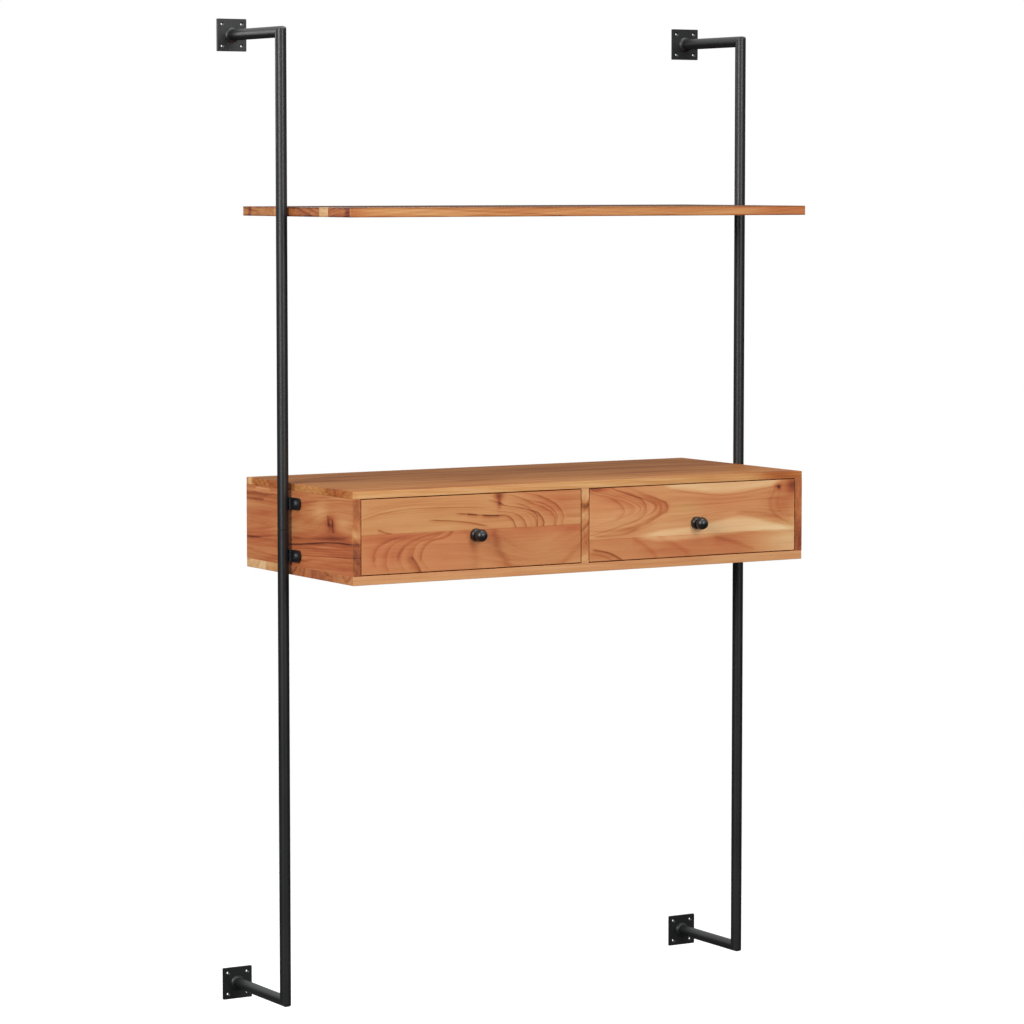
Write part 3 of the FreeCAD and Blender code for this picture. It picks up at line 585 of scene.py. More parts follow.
    # Sapwood, heartwood, knots and glue lines
    for wash in washes:
        cover, = graph.group(PATCH, g, a, wash.along, wash.across, wash.length, wash.height)
        tone = graph.scaled_sum(cover, wash.tone, tone)
        red = graph.scaled_sum(cover, wash.red, red)
    for area in areas:
        place = a + (ragged + streak) * (area.soft * AREA_RAGGED)
        cover = graph.rise(place - graph.curve(g, area.lower), -area.soft, area.soft)
        cover = graph.rise(place - graph.curve(g, area.upper), area.soft, -area.soft) * cover
        tone = graph.scaled_sum(cover, area.tone, tone)
        red = graph.scaled_sum(cover, area.red, red)
    for knot in knots:
        sizes = knot.along, knot.across, knot.length, knot.height
        core, = graph.group(PATCH, g + warp * knot.length, a - warp * knot.height, *sizes)
        halo, = graph.group(PATCH, g, a, *sizes[:2], knot.length * HALO_LENGTH, knot.height * HALO_HEIGHT)
        tone = graph.scaled_sum(core + halo * HALO_TONE, knot.tone, tone)
        red = graph.scaled_sum(halo, HALO_RED, red)
    for stave in staves[:-1]:
        tone = graph.scaled_sum(graph.bell((a - stave.edge) / GLUE_WIDTH), GLUE_TONE, tone)

    # Fibres, pores and end grain, and painted shade on faces that look one way and on arrises
    along, sideways = FIBRE_GRAIN
    fibre = graph.noise(g * along, a * sideways, t * sideways, detail=3.0, roughness=0.6)
    along, sideways = PORE_GRAIN
    pore = graph.noise(g * along, a * sideways, t * sideways + seed, detail=1.0)
    pores = graph.rise(pore, *PORE_RISE)
    end_grain = graph.rise(graph.math("ABSOLUTE", normal[grain]), *END_GRAIN_RISE)
    # Painted shade: faces that look the given way get the given tone and redness added
    for face in faces:
        cover = graph.rise(normal[face.axis] * face.way, *SHADE_FACE_RISE)
        tone = graph.scaled_sum(cover, face.tone, tone)
        red = graph.scaled_sum(cover, face.red, red)
    # Painted shade: a thin darker, less red line at each given arris height
    for height in shaded_arrises:
        flatness = graph.math("ABSOLUTE", normal[through])
        edge = graph.bell((t - height) / ARRIS_SHADE_WIDTH) * graph.rise(flatness, *ARRIS_SHADE_FALL)
        tone = graph.scaled_sum(edge, ARRIS_SHADE_TONE, tone)
        red = graph.scaled_sum(edge, ARRIS_SHADE_RED, red)
    tone = fibre * FIBRE_TONE + pores * PORE_TONE + end_grain * END_GRAIN_TONE + tone
    tone = graph.math("ADD", tone, 0.0, clamp=True)
    red = graph.math("ADD", red, 0.0, clamp=True)
    relief = fibre * FIBRE_RELIEF - pores * PORE_RELIEF - late * LATE_RELIEF
    graph.finish(
        Base_Color=graph.mix(red, graph.ramp(tone, YELLOW_WOOD), graph.ramp(tone, RED_WOOD)),
        Roughness=fibre * FIBRE_ROUGHNESS + late * LATE_ROUGHNESS + WOOD_ROUGHNESS,
        Normal=graph.bump(relief, RELIEF_STRENGTH, RELIEF_DEPTH),
        Specular_IOR_Level=gloss,
        Coat_Weight=lacquer,
        Coat_Roughness=LACQUER_ROUGHNESS,
    )
    return material


# Staves of plain boards: fixed scatter, and how far each value strays from stave to stave
SCATTER_SEED, SCATTER_STEP, SCATTER_SPREAD = 12.9898, 78.233, 43758.5453
SECOND_SCATTER, THIRD_SCATTER = 7.31, 23.7
EDGE_STRAY = 0.3
TONE_STRAY = 0.20
RED_STRAY = 0.5
TILT_STRAY = 0.12
LEAST_DEPTH, DEPTH_STRAY = 0.02, 0.06
LEAST_RING, RING_STRAY = 0.008, 0.006


def fraction(value):
    """What a number has beyond its whole part."""
    return value - math.floor(value)


def even_staves(low, high, count, seed, tone=0.45, red=0.4):
    """Staves of about equal width, with tones that differ from one to the next."""
    staves = []
    width = (high - low) / count
    for number in range(count):
        first = fraction(math.sin(seed * SCATTER_SEED + number * SCATTER_STEP) * SCATTER_SPREAD)
        second = fraction(first * SECOND_SCATTER)
        third = fraction(first * THIRD_SCATTER)
        staves.append(Stave(
            edge=low + width * (number + 1 + EDGE_STRAY * (second - 0.5)),
            tone=tone + TONE_STRAY * (first - 0.5),
            red=red + RED_STRAY * (third - 0.5),
            centre=low + width * (number + second),
            depth=LEAST_DEPTH + DEPTH_STRAY * third,
            tilt=TILT_STRAY * (first - 0.5),
            ring=LEAST_RING + RING_STRAY * second,
        ))
    return staves


# Metal: noise cells in a metre, level and upright where they differ, and shares of each effect
COAT_CLOUD_GRAIN = (22.0, 9.0)
COAT_CLOUD_SHARE, COAT_PALE_SHARE = 0.9, 0.35
COAT_CLOUD_ROUGHNESS = 0.08
RUB_GRAIN = (90.0, 45.0)
RUB_RISE = (0.16, 0.34)
RUB_SHARE = 0.35
RUB_SMOOTHNESS = 0.04
PEEL_GRAIN = 1400.0
PEEL_STRENGTH = 0.03
COAT_GLOSS = 0.55
ZINC_CLOUD_GRAIN = 260.0
ZINC_BRUSH_GRAIN = (900.0, 5200.0)
ZINC_BRUSH_STRENGTH = 0.12
ZINC_ROUGHNESS, ZINC_CLOUD_ROUGHNESS = 0.34, 0.2
ZINC_DARK, ZINC_PALE = srgb(150, 150, 152), srgb(198, 197, 192)
METAL_RELIEF = 0.0001


def powder_coat(name, dark, pale, roughness):
    """Black powder coat: fine orange peel, faint cloudiness and rubbed spots."""
    material, graph = new_material(name)
    x, y, z = graph.axes().values()
    level, upright = COAT_CLOUD_GRAIN
    cloud = graph.noise(x * level, y * level, z * upright, detail=3.0)
    level, upright = RUB_GRAIN
    spots = graph.noise(x * level, y * level, z * upright, detail=4.0, roughness=0.7)
    rub = graph.rise(spots, *RUB_RISE)
    share = graph.math("ADD", cloud * COAT_CLOUD_SHARE + COAT_PALE_SHARE, rub * RUB_SHARE, clamp=True)
    peel = graph.noise(x * PEEL_GRAIN, y * PEEL_GRAIN, z * PEEL_GRAIN, detail=1.0)
    graph.finish(
        Base_Color=graph.mix(share, dark, pale),
        Roughness=cloud * COAT_CLOUD_ROUGHNESS - rub * RUB_SMOOTHNESS + roughness,
        Normal=graph.bump(peel, PEEL_STRENGTH, METAL_RELIEF),
        Specular_IOR_Level=COAT_GLOSS,
    )
    return material


def plated_steel(name):
    """Zinc-plated steel of screws, nuts and washers."""
    material, graph = new_material(name)
    x, y, z = graph.axes().values()
    cloud = graph.noise(x * ZINC_CLOUD_GRAIN, y * ZINC_CLOUD_GRAIN, z * ZINC_CLOUD_GRAIN, detail=3.0)
    level, upright = ZINC_BRUSH_GRAIN
    brush = graph.noise(x * level, y * level, z * upright, detail=2.0)
    graph.finish(
        Base_Color=graph.mix(cloud + 0.5, ZINC_DARK, ZINC_PALE),
        Roughness=cloud * ZINC_CLOUD_ROUGHNESS + ZINC_ROUGHNESS,
        Normal=graph.bump(brush, ZINC_BRUSH_STRENGTH, METAL_RELIEF),
        Metallic=1.0,
    )
    return material


# Every board's own figure

BOX_DEPTHS = (-0.400, -0.020)
BOX_HEIGHTS = (-0.090, 0.064)
# Painted shade on the drawer fronts' edge faces: darker and redder, for the shade in the gaps around the
# fronts
FRONT_EDGE_SHADE = [ShadeFace(axis, way, tone=0.10, red=0.5) for axis in "xz" for way in (-1, 1)]


def left_front_wood():
    """Tan upper stave with a knot and arcs beside it, orange lower stave with nested arcs."""
    lower = Stave(
        -0.008, 0.52, 0.66, centre=-0.110, depth=0.30, ring=0.012,
        swirls=[Swirl(-0.095, -0.042, 0.085, 0.085, 0.036, 2.2)],
        nests=[
            Nest(5, 0.13, steep=True, fine=0.15,
                 near=((-0.402, -0.075), (-0.410, -0.050), (-0.406, -0.036), (-0.398, -0.027),
                       (-0.384, -0.020), (-0.352, -0.013), (-0.290, -0.004), (-0.270, 0.000)),
                 far=((-0.290, -0.075), (-0.316, -0.050), (-0.316, -0.038), (-0.309, -0.029),
                      (-0.298, -0.0225), (-0.276, -0.0185), (-0.260, -0.012), (-0.254, -0.004),
                      (-0.250, 0.000))),
        ],
        marks=[
            Mark(0.0014, 0.15, (-0.320, -0.060), (-0.316, -0.038), (-0.309, -0.029), (-0.298, -0.0225),
                 (-0.278, -0.0190), (-0.264, -0.0140), (-0.256, -0.0040), (-0.250, 0.004), steep=True),
            Mark(0.0022, 0.12, (-0.364, -0.056), (-0.358, -0.038), (-0.340, -0.025), (-0.320, -0.017),
                 (-0.290, -0.010), (-0.270, -0.002), steep=True),
            Mark(0.0026, 0.09, (-0.403, -0.066), (-0.408, -0.046), (-0.402, -0.030), (-0.384, -0.020),
                 (-0.352, -0.013), (-0.310, -0.006), steep=True),
            Mark(0.0022, 0.28, (-0.313, -0.085), (-0.324, -0.066), (-0.338, -0.044), steep=True),
            Mark(0.0060, 0.10, (-0.140, -0.090), (-0.160, -0.057), (-0.172, -0.040), (-0.178, 0.000),
                 steep=True),
            Mark(0.0060, 0.06, (-0.225, -0.090), (-0.215, -0.060), (-0.222, -0.030), (-0.240, 0.000),
                 steep=True),
            Mark(0.0050, 0.08, (-0.060, -0.090), (-0.030, -0.060), (-0.010, -0.045), (0.020, -0.030),
                 steep=True),
        ],
    )
    upper = Stave(
        0.051, 0.48, 0.12, centre=0.150, depth=0.30, ring=0.012,
        nests=[
            Nest(6, 0.34, steep=True, limits=(-0.165, -0.200), fine=0.6,
                 near=((-0.132, -0.020), (-0.138, -0.005), (-0.142, 0.004), (-0.150, 0.010),
                       (-0.164, 0.0155), (-0.190, 0.0195), (-0.240, 0.025), (-0.330, 0.033),
                       (-0.430, 0.056)),
                 far=((-0.046, -0.020), (-0.040, 0.000), (-0.038, 0.012), (-0.041, 0.020),
                      (-0.055, 0.033), (-0.075, 0.043), (-0.110, 0.050), (-0.130, 0.056))),
            Nest(6, 0.17, fine=0.2,
                 near=((-0.450, -0.004), (-0.400, 0.013), (-0.340, 0.021), (-0.280, 0.021),
                       (-0.240, 0.0195), (-0.180, 0.016)),
                 far=((-0.450, 0.028), (-0.380, 0.043), (-0.310, 0.047), (-0.240, 0.045), (-0.180, 0.042))),
        ],
        marks=[
            Mark(0.0010, 0.28, (-0.258, 0.0208), (-0.235, 0.0190), (-0.220, 0.0175), (-0.190, 0.0145),
                 (-0.168, 0.0138), (-0.150, 0.0150)),
            Mark(0.0014, 0.20, (-0.232, 0.0188), (-0.222, 0.0178), (-0.210, 0.0165)),
            Mark(0.0013, 0.20, (-0.204, 0.0158), (-0.186, 0.0143), (-0.166, 0.0138)),
            Mark(0.0010, 0.26, (-0.134, -0.014), (-0.138, -0.005), (-0.142, 0.004), (-0.150, 0.0105),
                 (-0.166, 0.0158), steep=True),
            Mark(0.0010, 0.26, (-0.308, 0.0112), (-0.296, 0.0110), (-0.280, 0.0100), (-0.240, 0.0060),
                 (-0.200, -0.0010), (-0.185, -0.0040)),
            Mark(0.0011, 0.18, (-0.098, -0.014), (-0.094, 0.003), (-0.097, 0.012), (-0.107, 0.0210),
                 (-0.122, 0.0285), (-0.150, 0.0370), steep=True),
            Mark(0.0011, 0.16, (-0.064, -0.014), (-0.056, 0.006), (-0.062, 0.017), (-0.078, 0.0275),
                 (-0.100, 0.0345), (-0.150, 0.0420), steep=True),
            Mark(0.0013, 0.24, (-0.402, 0.0000), (-0.392, -0.003), (-0.384, -0.0060), (-0.372, -0.0085)),
        ],
    )
    return acacia(
        "left_drawer_front_acacia", "x", "z", [lower, upper], seed=3.1, contrast=0.75, rings=0.14,
        faces=FRONT_EDGE_SHADE,
        washes=[
            Wash(-0.070, 0.020, 0.085, 0.060, 0.03, 0.65),
            Wash(-0.265, -0.045, 0.050, 0.030, 0.02, 0.30),
            Wash(-0.395, -0.030, 0.060, 0.040, 0.03, 0.30),
            Wash(-0.085, -0.046, 0.085, 0.036, -0.03, -0.50),
            Wash(-0.210, 0.020, 0.040, 0.050, 0.00, 0.25),
            Wash(-0.030, -0.013, 0.030, 0.006, 0.08, 0.30),
            Wash(-0.360, -0.013, 0.075, 0.005, 0.05, 0.30),
            Wash(-0.170, 0.046, 0.009, 0.007, 0.34, 0.60),
            Wash(-0.169, 0.034, 0.004, 0.009, 0.22, 0.60),
        ],
    )


def right_front_wood():
    """Nested arcs at the left, pale sapwood across the middle and right, red eye in the corner."""
    lower = Stave(
        -0.0365, 0.53, 0.90, centre=-0.120, depth=0.30, ring=0.012,
        marks=[
            Mark(0.0015, 0.28, (0.010, -0.0530), (0.035, -0.0570), (0.055, -0.0635), (0.068, -0.0700),
                 (0.082, -0.0790)),
            Mark(0.0020, 0.12, (0.006, -0.0600), (0.034, -0.0650), (0.058, -0.0740)),
            Mark(0.0040, 0.08, (0.090, -0.034), (0.120, -0.052), (0.150, -0.076)),
            Mark(0.0045, 0.08, (0.140, -0.034), (0.176, -0.050), (0.220, -0.076)),
            Mark(0.0030, 0.10, (0.255, -0.040), (0.305, -0.054), (0.355, -0.070)),
        ],
    )
    upper = Stave(
        0.051, 0.44, 0.58, centre=0.160, depth=0.30, ring=0.012,
        nests=[
            Nest(6, 0.22, steep=True, fine=0.2,
                 near=((-0.150, -0.046), (-0.040, -0.020), (0.030, -0.008), (0.062, 0.000), (0.078, 0.010),
                       (0.066, 0.022), (0.030, 0.034), (-0.020, 0.045), (-0.060, 0.062)),
                 far=((-0.040, -0.046), (0.040, -0.031), (0.072, -0.025), (0.100, -0.018), (0.137, -0.005),
                      (0.163, 0.006), (0.170, 0.014), (0.154, 0.026), (0.126, 0.036), (0.104, 0.0455),
                      (0.070, 0.062))),
            Nest(6, 0.12, fine=0.1,
                 near=((0.150, -0.030), (0.230, -0.018), (0.300, -0.005), (0.340, -0.005), (0.380, -0.012),
                       (0.420, -0.024)),
                 far=((0.150, 0.048), (0.220, 0.038), (0.280, 0.031), (0.330, 0.034), (0.390, 0.042),
                      (0.420, 0.048))),
            Nest(2, 0.17, steep=True, fine=0.0,
                 near=((0.450, -0.040), (0.390, -0.016), (0.374, 0.000), (0.370, 0.012), (0.376, 0.028),
                       (0.392, 0.056)),
                 far=((0.490, -0.040), (0.416, -0.014), (0.402, 0.002), (0.399, 0.014), (0.402, 0.028),
                      (0.412, 0.056))),
        ],
        marks=[
            Mark(0.0018, 0.12, (0.030, -0.010), (0.060, -0.006), (0.075, 0.003), (0.078, 0.011),
                 (0.070, 0.021), (0.040, 0.034), steep=True),
            Mark(0.0018, 0.16, (0.050, -0.020), (0.084, -0.012), (0.112, -0.002), (0.122, 0.010),
                 (0.116, 0.025), (0.092, 0.038), (0.060, 0.048), steep=True),
            Mark(0.0030, 0.14, (0.060, -0.030), (0.104, -0.018), (0.138, -0.004), (0.151, 0.006),
                 (0.152, 0.015), (0.138, 0.025), (0.100, 0.040), steep=True),
            Mark(0.0020, 0.16, (0.066, -0.032), (0.122, -0.014), (0.152, 0.001), (0.166, 0.009),
                 (0.165, 0.017), (0.147, 0.027), (0.110, 0.040), steep=True),
            Mark(0.0016, 0.12, (0.006, -0.0215), (0.040, -0.0225), (0.085, -0.0200), (0.120, -0.0120)),
            Mark(0.0016, 0.14, (0.008, -0.0290), (0.060, -0.0310), (0.100, -0.0245), (0.150, -0.0100)),
            Mark(0.0030, 0.12, (0.300, -0.002), (0.340, -0.003), (0.375, -0.009), (0.450, -0.036)),
        ],
    )
    return acacia(
        "right_drawer_front_acacia", "x", "z", [lower, upper], seed=8.4, contrast=0.75, rings=0.14,
        faces=FRONT_EDGE_SHADE,
        washes=[
            Wash(0.060, 0.015, 0.090, 0.040, 0.00, 0.25),
            Wash(0.155, 0.014, 0.014, 0.009, 0.07, 0.30),
            Wash(0.205, 0.012, 0.030, 0.010, 0.03, -0.60),
            Wash(0.300, 0.015, 0.090, 0.020, 0.00, 0.25),
            Wash(0.406, 0.002, 0.036, 0.026, 0.20, 0.45),
            Wash(0.428, 0.040, 0.018, 0.014, 0.42, 0.50),
            Wash(0.022, 0.050, 0.022, 0.005, 0.26, 0.60),
            Wash(0.050, -0.055, 0.060, 0.024, -0.05, -0.40),
            Wash(0.260, -0.045, 0.080, 0.012, 0.04, 0.20),
            Wash(0.425, -0.058, 0.070, 0.045, -0.22, -0.80),
        ],
        areas=[
            Area(-0.20, -0.25, 0.0045,
                 ((0.080, -0.024), (0.105, -0.0365), (0.330, -0.0365), (0.431, -0.0375)),
                 ((0.080, -0.044), (0.140, -0.0310), (0.180, -0.0275), (0.230, -0.0220), (0.270, -0.0140),
                  (0.300, -0.0090), (0.330, -0.0105), (0.370, -0.0190), (0.410, -0.0310),
                  (0.431, -0.0370))),
            Area(-0.20, -0.40, 0.0050,
                 ((0.140, 0.0620), (0.160, 0.0500), (0.220, 0.0400), (0.280, 0.0330), (0.320, 0.0355),
                  (0.360, 0.0390), (0.390, 0.0440), (0.410, 0.0620)),
                 ((0.140, 0.0700), (0.410, 0.0700))),
        ],
        knots=[Knot(0.397, 0.0385, 0.0034, 0.0034, 0.42)],
    )


def left_side_wood():
    """Orange brown, redder below, with a knot near the front and a dark line across."""
    board = Stave(
        0.064, 0.57, 0.74, centre=0.200, depth=0.20, tilt=0.10, ring=0.010,
        swirls=[Swirl(-0.320, 0.008, 0.070, 0.060, 0.026, 1.0)],
        nests=[
            Nest(7, 0.36,
                 near=((-0.420, -0.014), (-0.310, -0.021), (-0.230, -0.027), (-0.140, -0.032)),
                 far=((-0.420, -0.064), (-0.300, -0.070), (-0.200, -0.076), (-0.140, -0.078))),
            Nest(5, 0.26,
                 near=((-0.420, 0.036), (-0.330, 0.028), (-0.260, 0.018), (-0.170, 0.006)),
                 far=((-0.420, 0.054), (-0.300, 0.050), (-0.220, 0.040), (-0.170, 0.032))),
            Nest(7, 0.30,
                 near=((-0.160, 0.001), (-0.100, -0.007), (-0.050, -0.014), (0.000, -0.020)),
                 far=((-0.160, -0.074), (-0.100, -0.072), (-0.050, -0.070), (0.000, -0.068))),
            Nest(4, 0.36,
                 near=((-0.160, 0.022), (-0.090, 0.024), (0.000, 0.026)),
                 far=((-0.160, 0.056), (-0.090, 0.055), (0.000, 0.054))),
        ],
        marks=[
            Mark(0.0010, 0.32, (-0.420, -0.0220), (-0.310, -0.0260), (-0.260, -0.0310), (-0.190, -0.0380),
                 (-0.140, -0.0410)),
            Mark(0.0024, 0.14, (-0.400, -0.0120), (-0.310, -0.0190), (-0.230, -0.0250), (-0.160, -0.0290)),
            Mark(0.0016, 0.12, (-0.150, -0.0360), (-0.080, -0.0370), (-0.010, -0.0350)),
            Mark(0.0018, 0.14, (-0.150, -0.0620), (-0.090, -0.0610), (-0.010, -0.0570)),
            Mark(0.0016, 0.20, (-0.090, 0.0300), (-0.060, 0.0300), (-0.010, 0.0305)),
            Mark(0.0010, -0.24, (-0.112, 0.0480), (-0.080, 0.0485), (-0.050, 0.0480)),
            Mark(0.0022, 0.24, (-0.332, -0.010), (-0.330, 0.000), (-0.328, 0.016), steep=True),
            Mark(0.0020, 0.20, (-0.316, 0.000), (-0.314, 0.010), (-0.312, 0.022), steep=True),
        ],
    )
    return acacia(
        "left_side_acacia", "y", "z", [board], seed=21.0, contrast=1.1, rings=0.10, bands=0.34,
        knots=[Knot(-0.321, 0.006, 0.0080, 0.0085, 0.30)],
        washes=[
            Wash(-0.290, 0.020, 0.030, 0.022, -0.10, -0.30),
            Wash(-0.365, 0.010, 0.030, 0.011, -0.14, -0.25),
            Wash(-0.340, -0.018, 0.080, 0.008, 0.08, 0.20),
            Wash(-0.330, -0.060, 0.100, 0.025, 0.01, 0.35),
            Wash(-0.060, -0.030, 0.060, 0.040, 0.02, 0.45),
            Wash(-0.322, 0.008, 0.0050, 0.0045, -0.30, 0.20),
            Wash(-0.404, 0.034, 0.006, 0.024, 0.10, -0.30),
            Wash(-0.404, -0.008, 0.006, 0.010, -0.30, -0.80),
            Wash(-0.404, -0.050, 0.006, 0.030, 0.14, -0.70),
        ],
    )


def upright_edge_wood(name, seed, tone, red, washes):
    """A side or the divider, whose front edge has its own patches."""
    staves = [Stave(0.064, tone, red, centre=0.15, depth=0.2, tilt=0.08)]
    return acacia(name, "y", "z", staves, seed, contrast=1.2, rings=0.34, bands=0.34, washes=washes)


def desk_top_wood():
    """Olive tan with brown bands, and a lighter front edge that darkens at its right end."""
    return acacia(
        "desk_top_acacia", "x", "y", seed=11.0, contrast=1.2, rings=0.22, bands=0.46, gloss=0.04,
        # Painted shade: the upward face is darker than the front edge, for how light falls on it
        faces=[ShadeFace("z", 1, tone=0.13, red=-0.05)],
        staves=[
            Stave(-0.340, 0.47, 0.05, centre=-0.450, depth=0.10, tilt=0.05),
            Stave(-0.196, 0.50, -0.15, centre=-0.130, depth=0.12, tilt=-0.06),
            Stave(-0.105, 0.58, 0.00, centre=-0.300, depth=0.15, tilt=0.05),
            Stave(-0.020, 0.53, -0.10, centre=0.060, depth=0.10, tilt=-0.04),
        ],
        washes=[
            Wash(-0.300, -0.250, 0.110, 0.035, -0.08, -0.10),
            Wash(-0.150, -0.285, 0.040, 0.012, 0.14, 0.05),
            Wash(0.300, -0.230, 0.160, 0.060, 0.08, 0.08),
            Wash(-0.250, -0.404, 0.350, 0.010, -0.08, 0.05),
            Wash(0.400, -0.400, 0.050, 0.016, 0.22, 0.50),
            Wash(-0.446, -0.345, 0.008, 0.045, 0.12, 0.60),
            Wash(-0.446, -0.110, 0.008, 0.070, 0.04, 0.55),
            Wash(-0.446, -0.032, 0.008, 0.008, -0.40, -0.30),
        ],
    )


def shelf_wood():
    """Five staves that show at the end, and a light orange front edge with slanting streaks."""
    low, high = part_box("shelf")
    return acacia(
        "shelf_acacia", "x", "y", seed=17.0, contrast=0.85, rings=0.22, bands=0.44, slant=18.0, gloss=0.15,
        # Painted shade: dark lines along the front edge's top and bottom arrises, and a darker, less red
        # top face
        lacquer=1.0, shaded_arrises=(low[2], high[2]), faces=[ShadeFace("z", 1, tone=0.15, red=-0.40)],
        staves=[
            Stave(-0.325, 0.52, 0.70, centre=-0.450, depth=0.10, tilt=0.05, ring=0.006),
            Stave(-0.294, 0.16, 0.10, centre=-0.250, depth=0.10, tilt=-0.06),
            Stave(-0.143, 0.50, 0.40, centre=-0.100, depth=0.12, tilt=0.04),
            Stave(-0.133, 0.26, 0.60, centre=-0.200, depth=0.10, tilt=0.03),
            Stave(-0.020, 0.50, 0.35, centre=0.030, depth=0.12, tilt=-0.05),
        ],
        washes=[
            Wash(-0.100, -0.404, 0.600, 0.010, -0.06, -0.50),
            Wash(-0.452, -0.392, 0.030, 0.010, 0.22, 0.30),
            Wash(0.400, -0.400, 0.080, 0.010, 0.10, 0.40),
            Wash(-0.452, -0.045, 0.010, 0.006, 0.22, 0.60),
            Wash(-0.452, -0.250, 0.010, 0.050, 0.05, 0.20),
        ],
    )


def case_materials():
    """Shelf, desk box and fronts: grain along the wall, but along the depth in sides and divider."""
    bottom_staves = even_staves(*BOX_DEPTHS, count=5, seed=5.0, tone=0.44, red=0.30)
    bottom = acacia(
        "desk_bottom_acacia", "x", "y", bottom_staves, seed=14.0,
        # Painted shade: the upward face is darker and redder, for the shade in the gap under the drawer
        # fronts
        contrast=0.9, rings=0.26, bands=0.34, gloss=0.5, faces=[ShadeFace("z", 1, tone=0.04, red=0.5)],
        washes=[
            Wash(-0.446, -0.080, 0.010, 0.060, -0.26, -0.20),
            Wash(-0.446, -0.260, 0.010, 0.100, 0.10, 0.40),
        ],
    )
    right = upright_edge_wood("right_side_acacia", seed=25.0, tone=0.50, red=0.60, washes=[
        Wash(-0.402, -0.050, 0.012, 0.034, 0.20, 0.25),
    ])
    divider = upright_edge_wood("divider_acacia", seed=29.0, tone=0.44, red=0.55, washes=[
        Wash(-0.402, 0.044, 0.010, 0.014, -0.20, -0.40),
        Wash(-0.402, 0.023, 0.010, 0.006, 0.30, 0.00),
        Wash(-0.402, 0.006, 0.010, 0.006, -0.08, -0.30),
        Wash(-0.402, -0.030, 0.010, 0.025, 0.08, 0.00),
        Wash(-0.402, -0.068, 0.010, 0.010, -0.16, -0.30),
    ])
    back = acacia("back_acacia", "x", "z", even_staves(*BOX_HEIGHTS, count=2, seed=7.0), seed=33.0)
    return {
        "left_drawer_front": left_front_wood(), "right_drawer_front": right_front_wood(),
        "desk_left_side": left_side_wood(), "desk_right_side": right, "desk_divider": divider,
        "desk_top": desk_top_wood(), "desk_bottom": bottom, "shelf": shelf_wood(), "desk_back": back,
    }


def dress_nodes():
    """Gives each CAD node its material."""
    coat = powder_coat("frame_coat", dark=srgb(16, 17, 18), pale=srgb(30, 31, 33), roughness=0.40)
    bolt_coat = powder_coat("bolt_coat", dark=srgb(20, 22, 26), pale=srgb(38, 41, 47), roughness=0.52)
    knob_coat = powder_coat("knob_coat", dark=srgb(14, 15, 17), pale=srgb(24, 26, 29), roughness=0.36)
    zinc = plated_steel("zinc")
    side_staves = even_staves(*BOX_HEIGHTS, count=2, seed=3.0, tone=0.36, red=0.3)
    box_length = acacia("drawer_box_length", "y", "z", side_staves, seed=41.0)
    back_staves = even_staves(*BOX_HEIGHTS, count=2, seed=8.0, tone=0.36, red=0.3)
    box_width = acacia("drawer_box_width", "x", "z", back_staves, seed=44.0)
    floor_staves = even_staves(*BOX_DEPTHS, count=5, seed=1.0, tone=0.34, red=0.25)
    floor_board = acacia("drawer_floor", "x", "y", floor_staves, seed=47.0)
    strip = even_staves(*BOX_HEIGHTS, count=1, seed=1.5, tone=0.22, red=0.1)
    pale = acacia("pale_strip", "y", "z", strip, seed=50.0, contrast=0.6)
    by_slot = {
        "frame_black": coat, "bolt_black": bolt_coat, "knob_black": knob_coat,
        "plain_steel": zinc, "pale_wood": pale,
    }
    by_name = case_materials()
    for side in ("left", "right"):
        by_name[f"{side}_drawer_left_side"] = box_length
        by_name[f"{side}_drawer_right_side"] = box_length
        by_name[f"{side}_drawer_back"] = box_width
        by_name[f"{side}_drawer_bottom"] = floor_board
    slots = {part["node"]: part["material_slot"] for part in frame["record"]["subparts"]}
    for name, item in frame["nodes"].items():
        material = by_name.get(name) or by_slot[slots[name]]
        item.data.materials.clear()
        item.data.materials.append(material)


# Studio

def add_camera():
    """The photograph's viewpoint."""
    data = bpy.data.cameras.new("photo_camera")
    data.lens = CAMERA_LENS_MM
    data.sensor_width = CAMERA_SENSOR_MM
    data.clip_end = CAMERA_REACH
    camera = bpy.data.objects.new("photo_camera", data)
    camera.location = CAMERA_PLACE
    camera.rotation_euler = (math.radians(90) + CAMERA_PITCH, 0.0, -CAMERA_YAW)
    bpy.context.scene.collection.objects.link(camera)
    bpy.context.scene.camera = camera


def add_softbox(name, place, target, width, height, power):
    """A rectangular light at a place, facing a target."""
    data = bpy.data.lights.new(name, "AREA")
    data.shape = "RECTANGLE"
    data.size = width
    data.size_y = height
    data.energy = power
    light = bpy.data.objects.new(name, data)
    light.location = place
    light.rotation_euler = (Vector(target) - Vector(place)).to_track_quat("-Z", "Y").to_euler()
    bpy.context.scene.collection.objects.link(light)


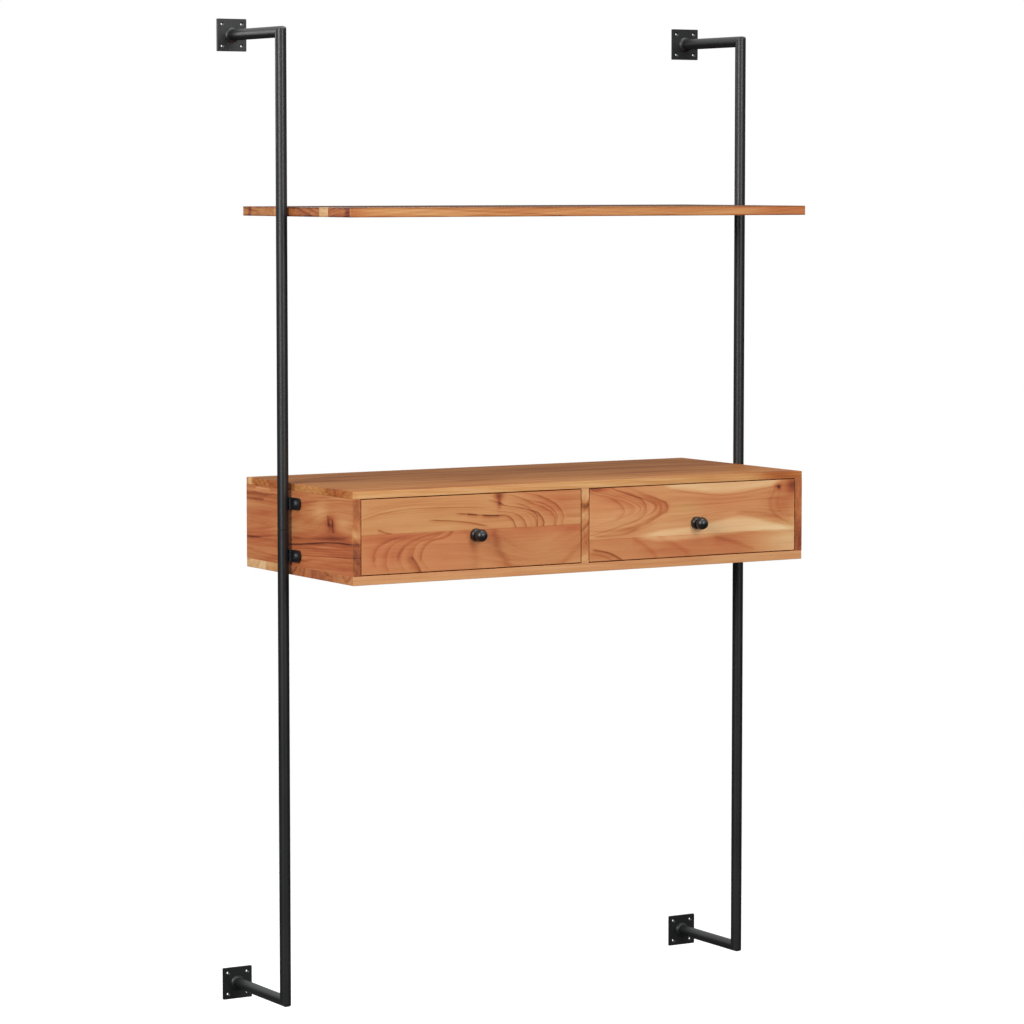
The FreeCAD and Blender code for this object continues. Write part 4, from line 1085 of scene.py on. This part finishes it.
def add_floor():
    """A pale floor that fades into the white surroundings away from the object."""
    half = FLOOR_SIDE / 2
    mesh = bpy.data.meshes.new("studio_floor")
    corners = [(-half, -half), (half, -half), (half, half), (-half, half)]
    mesh.from_pydata([(x, y, FLOOR_HEIGHT) for x, y in corners], [], [(0, 1, 2, 3)])
    floor = bpy.data.objects.new("studio_floor", mesh)
    bpy.context.scene.collection.objects.link(floor)
    material, graph = new_material("studio_paper")
    x, y, z = graph.axes().values()
    cloud = graph.noise(x * FLOOR_CLOUD_GRAIN, y * FLOOR_CLOUD_GRAIN, z, detail=2.0)
    paper = graph.mix(cloud + 0.5, *[srgb(*shade) for shade in FLOOR_PAPER])
    seen = Field(graph, graph.node("LightPath").outputs["Is Camera Ray"])
    away = graph.math("SQRT", x * x + y * y)
    graph.finish(
        Base_Color=graph.mix(seen, srgb(*FLOOR_BOUNCE), paper),
        Roughness=FLOOR_ROUGHNESS,
        Alpha=graph.rise(away, FLOOR_FADE_END, FLOOR_FADE_START),
        Emission_Color=WHITE,
        Emission_Strength=seen * FLOOR_GLOW,
    )
    mesh.materials.append(material)


def add_world():
    """White behind the object, dimmer as light, and in reflections dark below and pale above."""
    world = bpy.data.worlds.new("studio")
    world.use_nodes = True
    graph = Graph(world.node_tree)
    path = graph.node("LightPath").outputs
    height = graph.axes("Generated")["z"]
    gloss = graph.rise(height, GLOSS_LOW_HEIGHT, GLOSS_HIGH_HEIGHT)
    gloss = gloss * (GLOSS_ABOVE - GLOSS_BELOW) + GLOSS_BELOW
    glossy, seen = Field(graph, path["Is Glossy Ray"]), Field(graph, path["Is Camera Ray"])
    strength = graph.scaled_sum(glossy, gloss - SURROUND_LIGHT, SURROUND_LIGHT)
    strength = graph.math("MAXIMUM", strength * (1.0 - seen), seen)
    background = graph.node("Background", {"Color": WHITE, "Strength": strength})
    graph.node("OutputWorld", {"Surface": background.outputs[0]})
    bpy.context.scene.world = world
    bpy.context.scene.view_settings.view_transform = "Standard"


dress_nodes()
add_camera()
add_floor()
add_world()
for softbox in SOFTBOXES:
    add_softbox(*softbox)
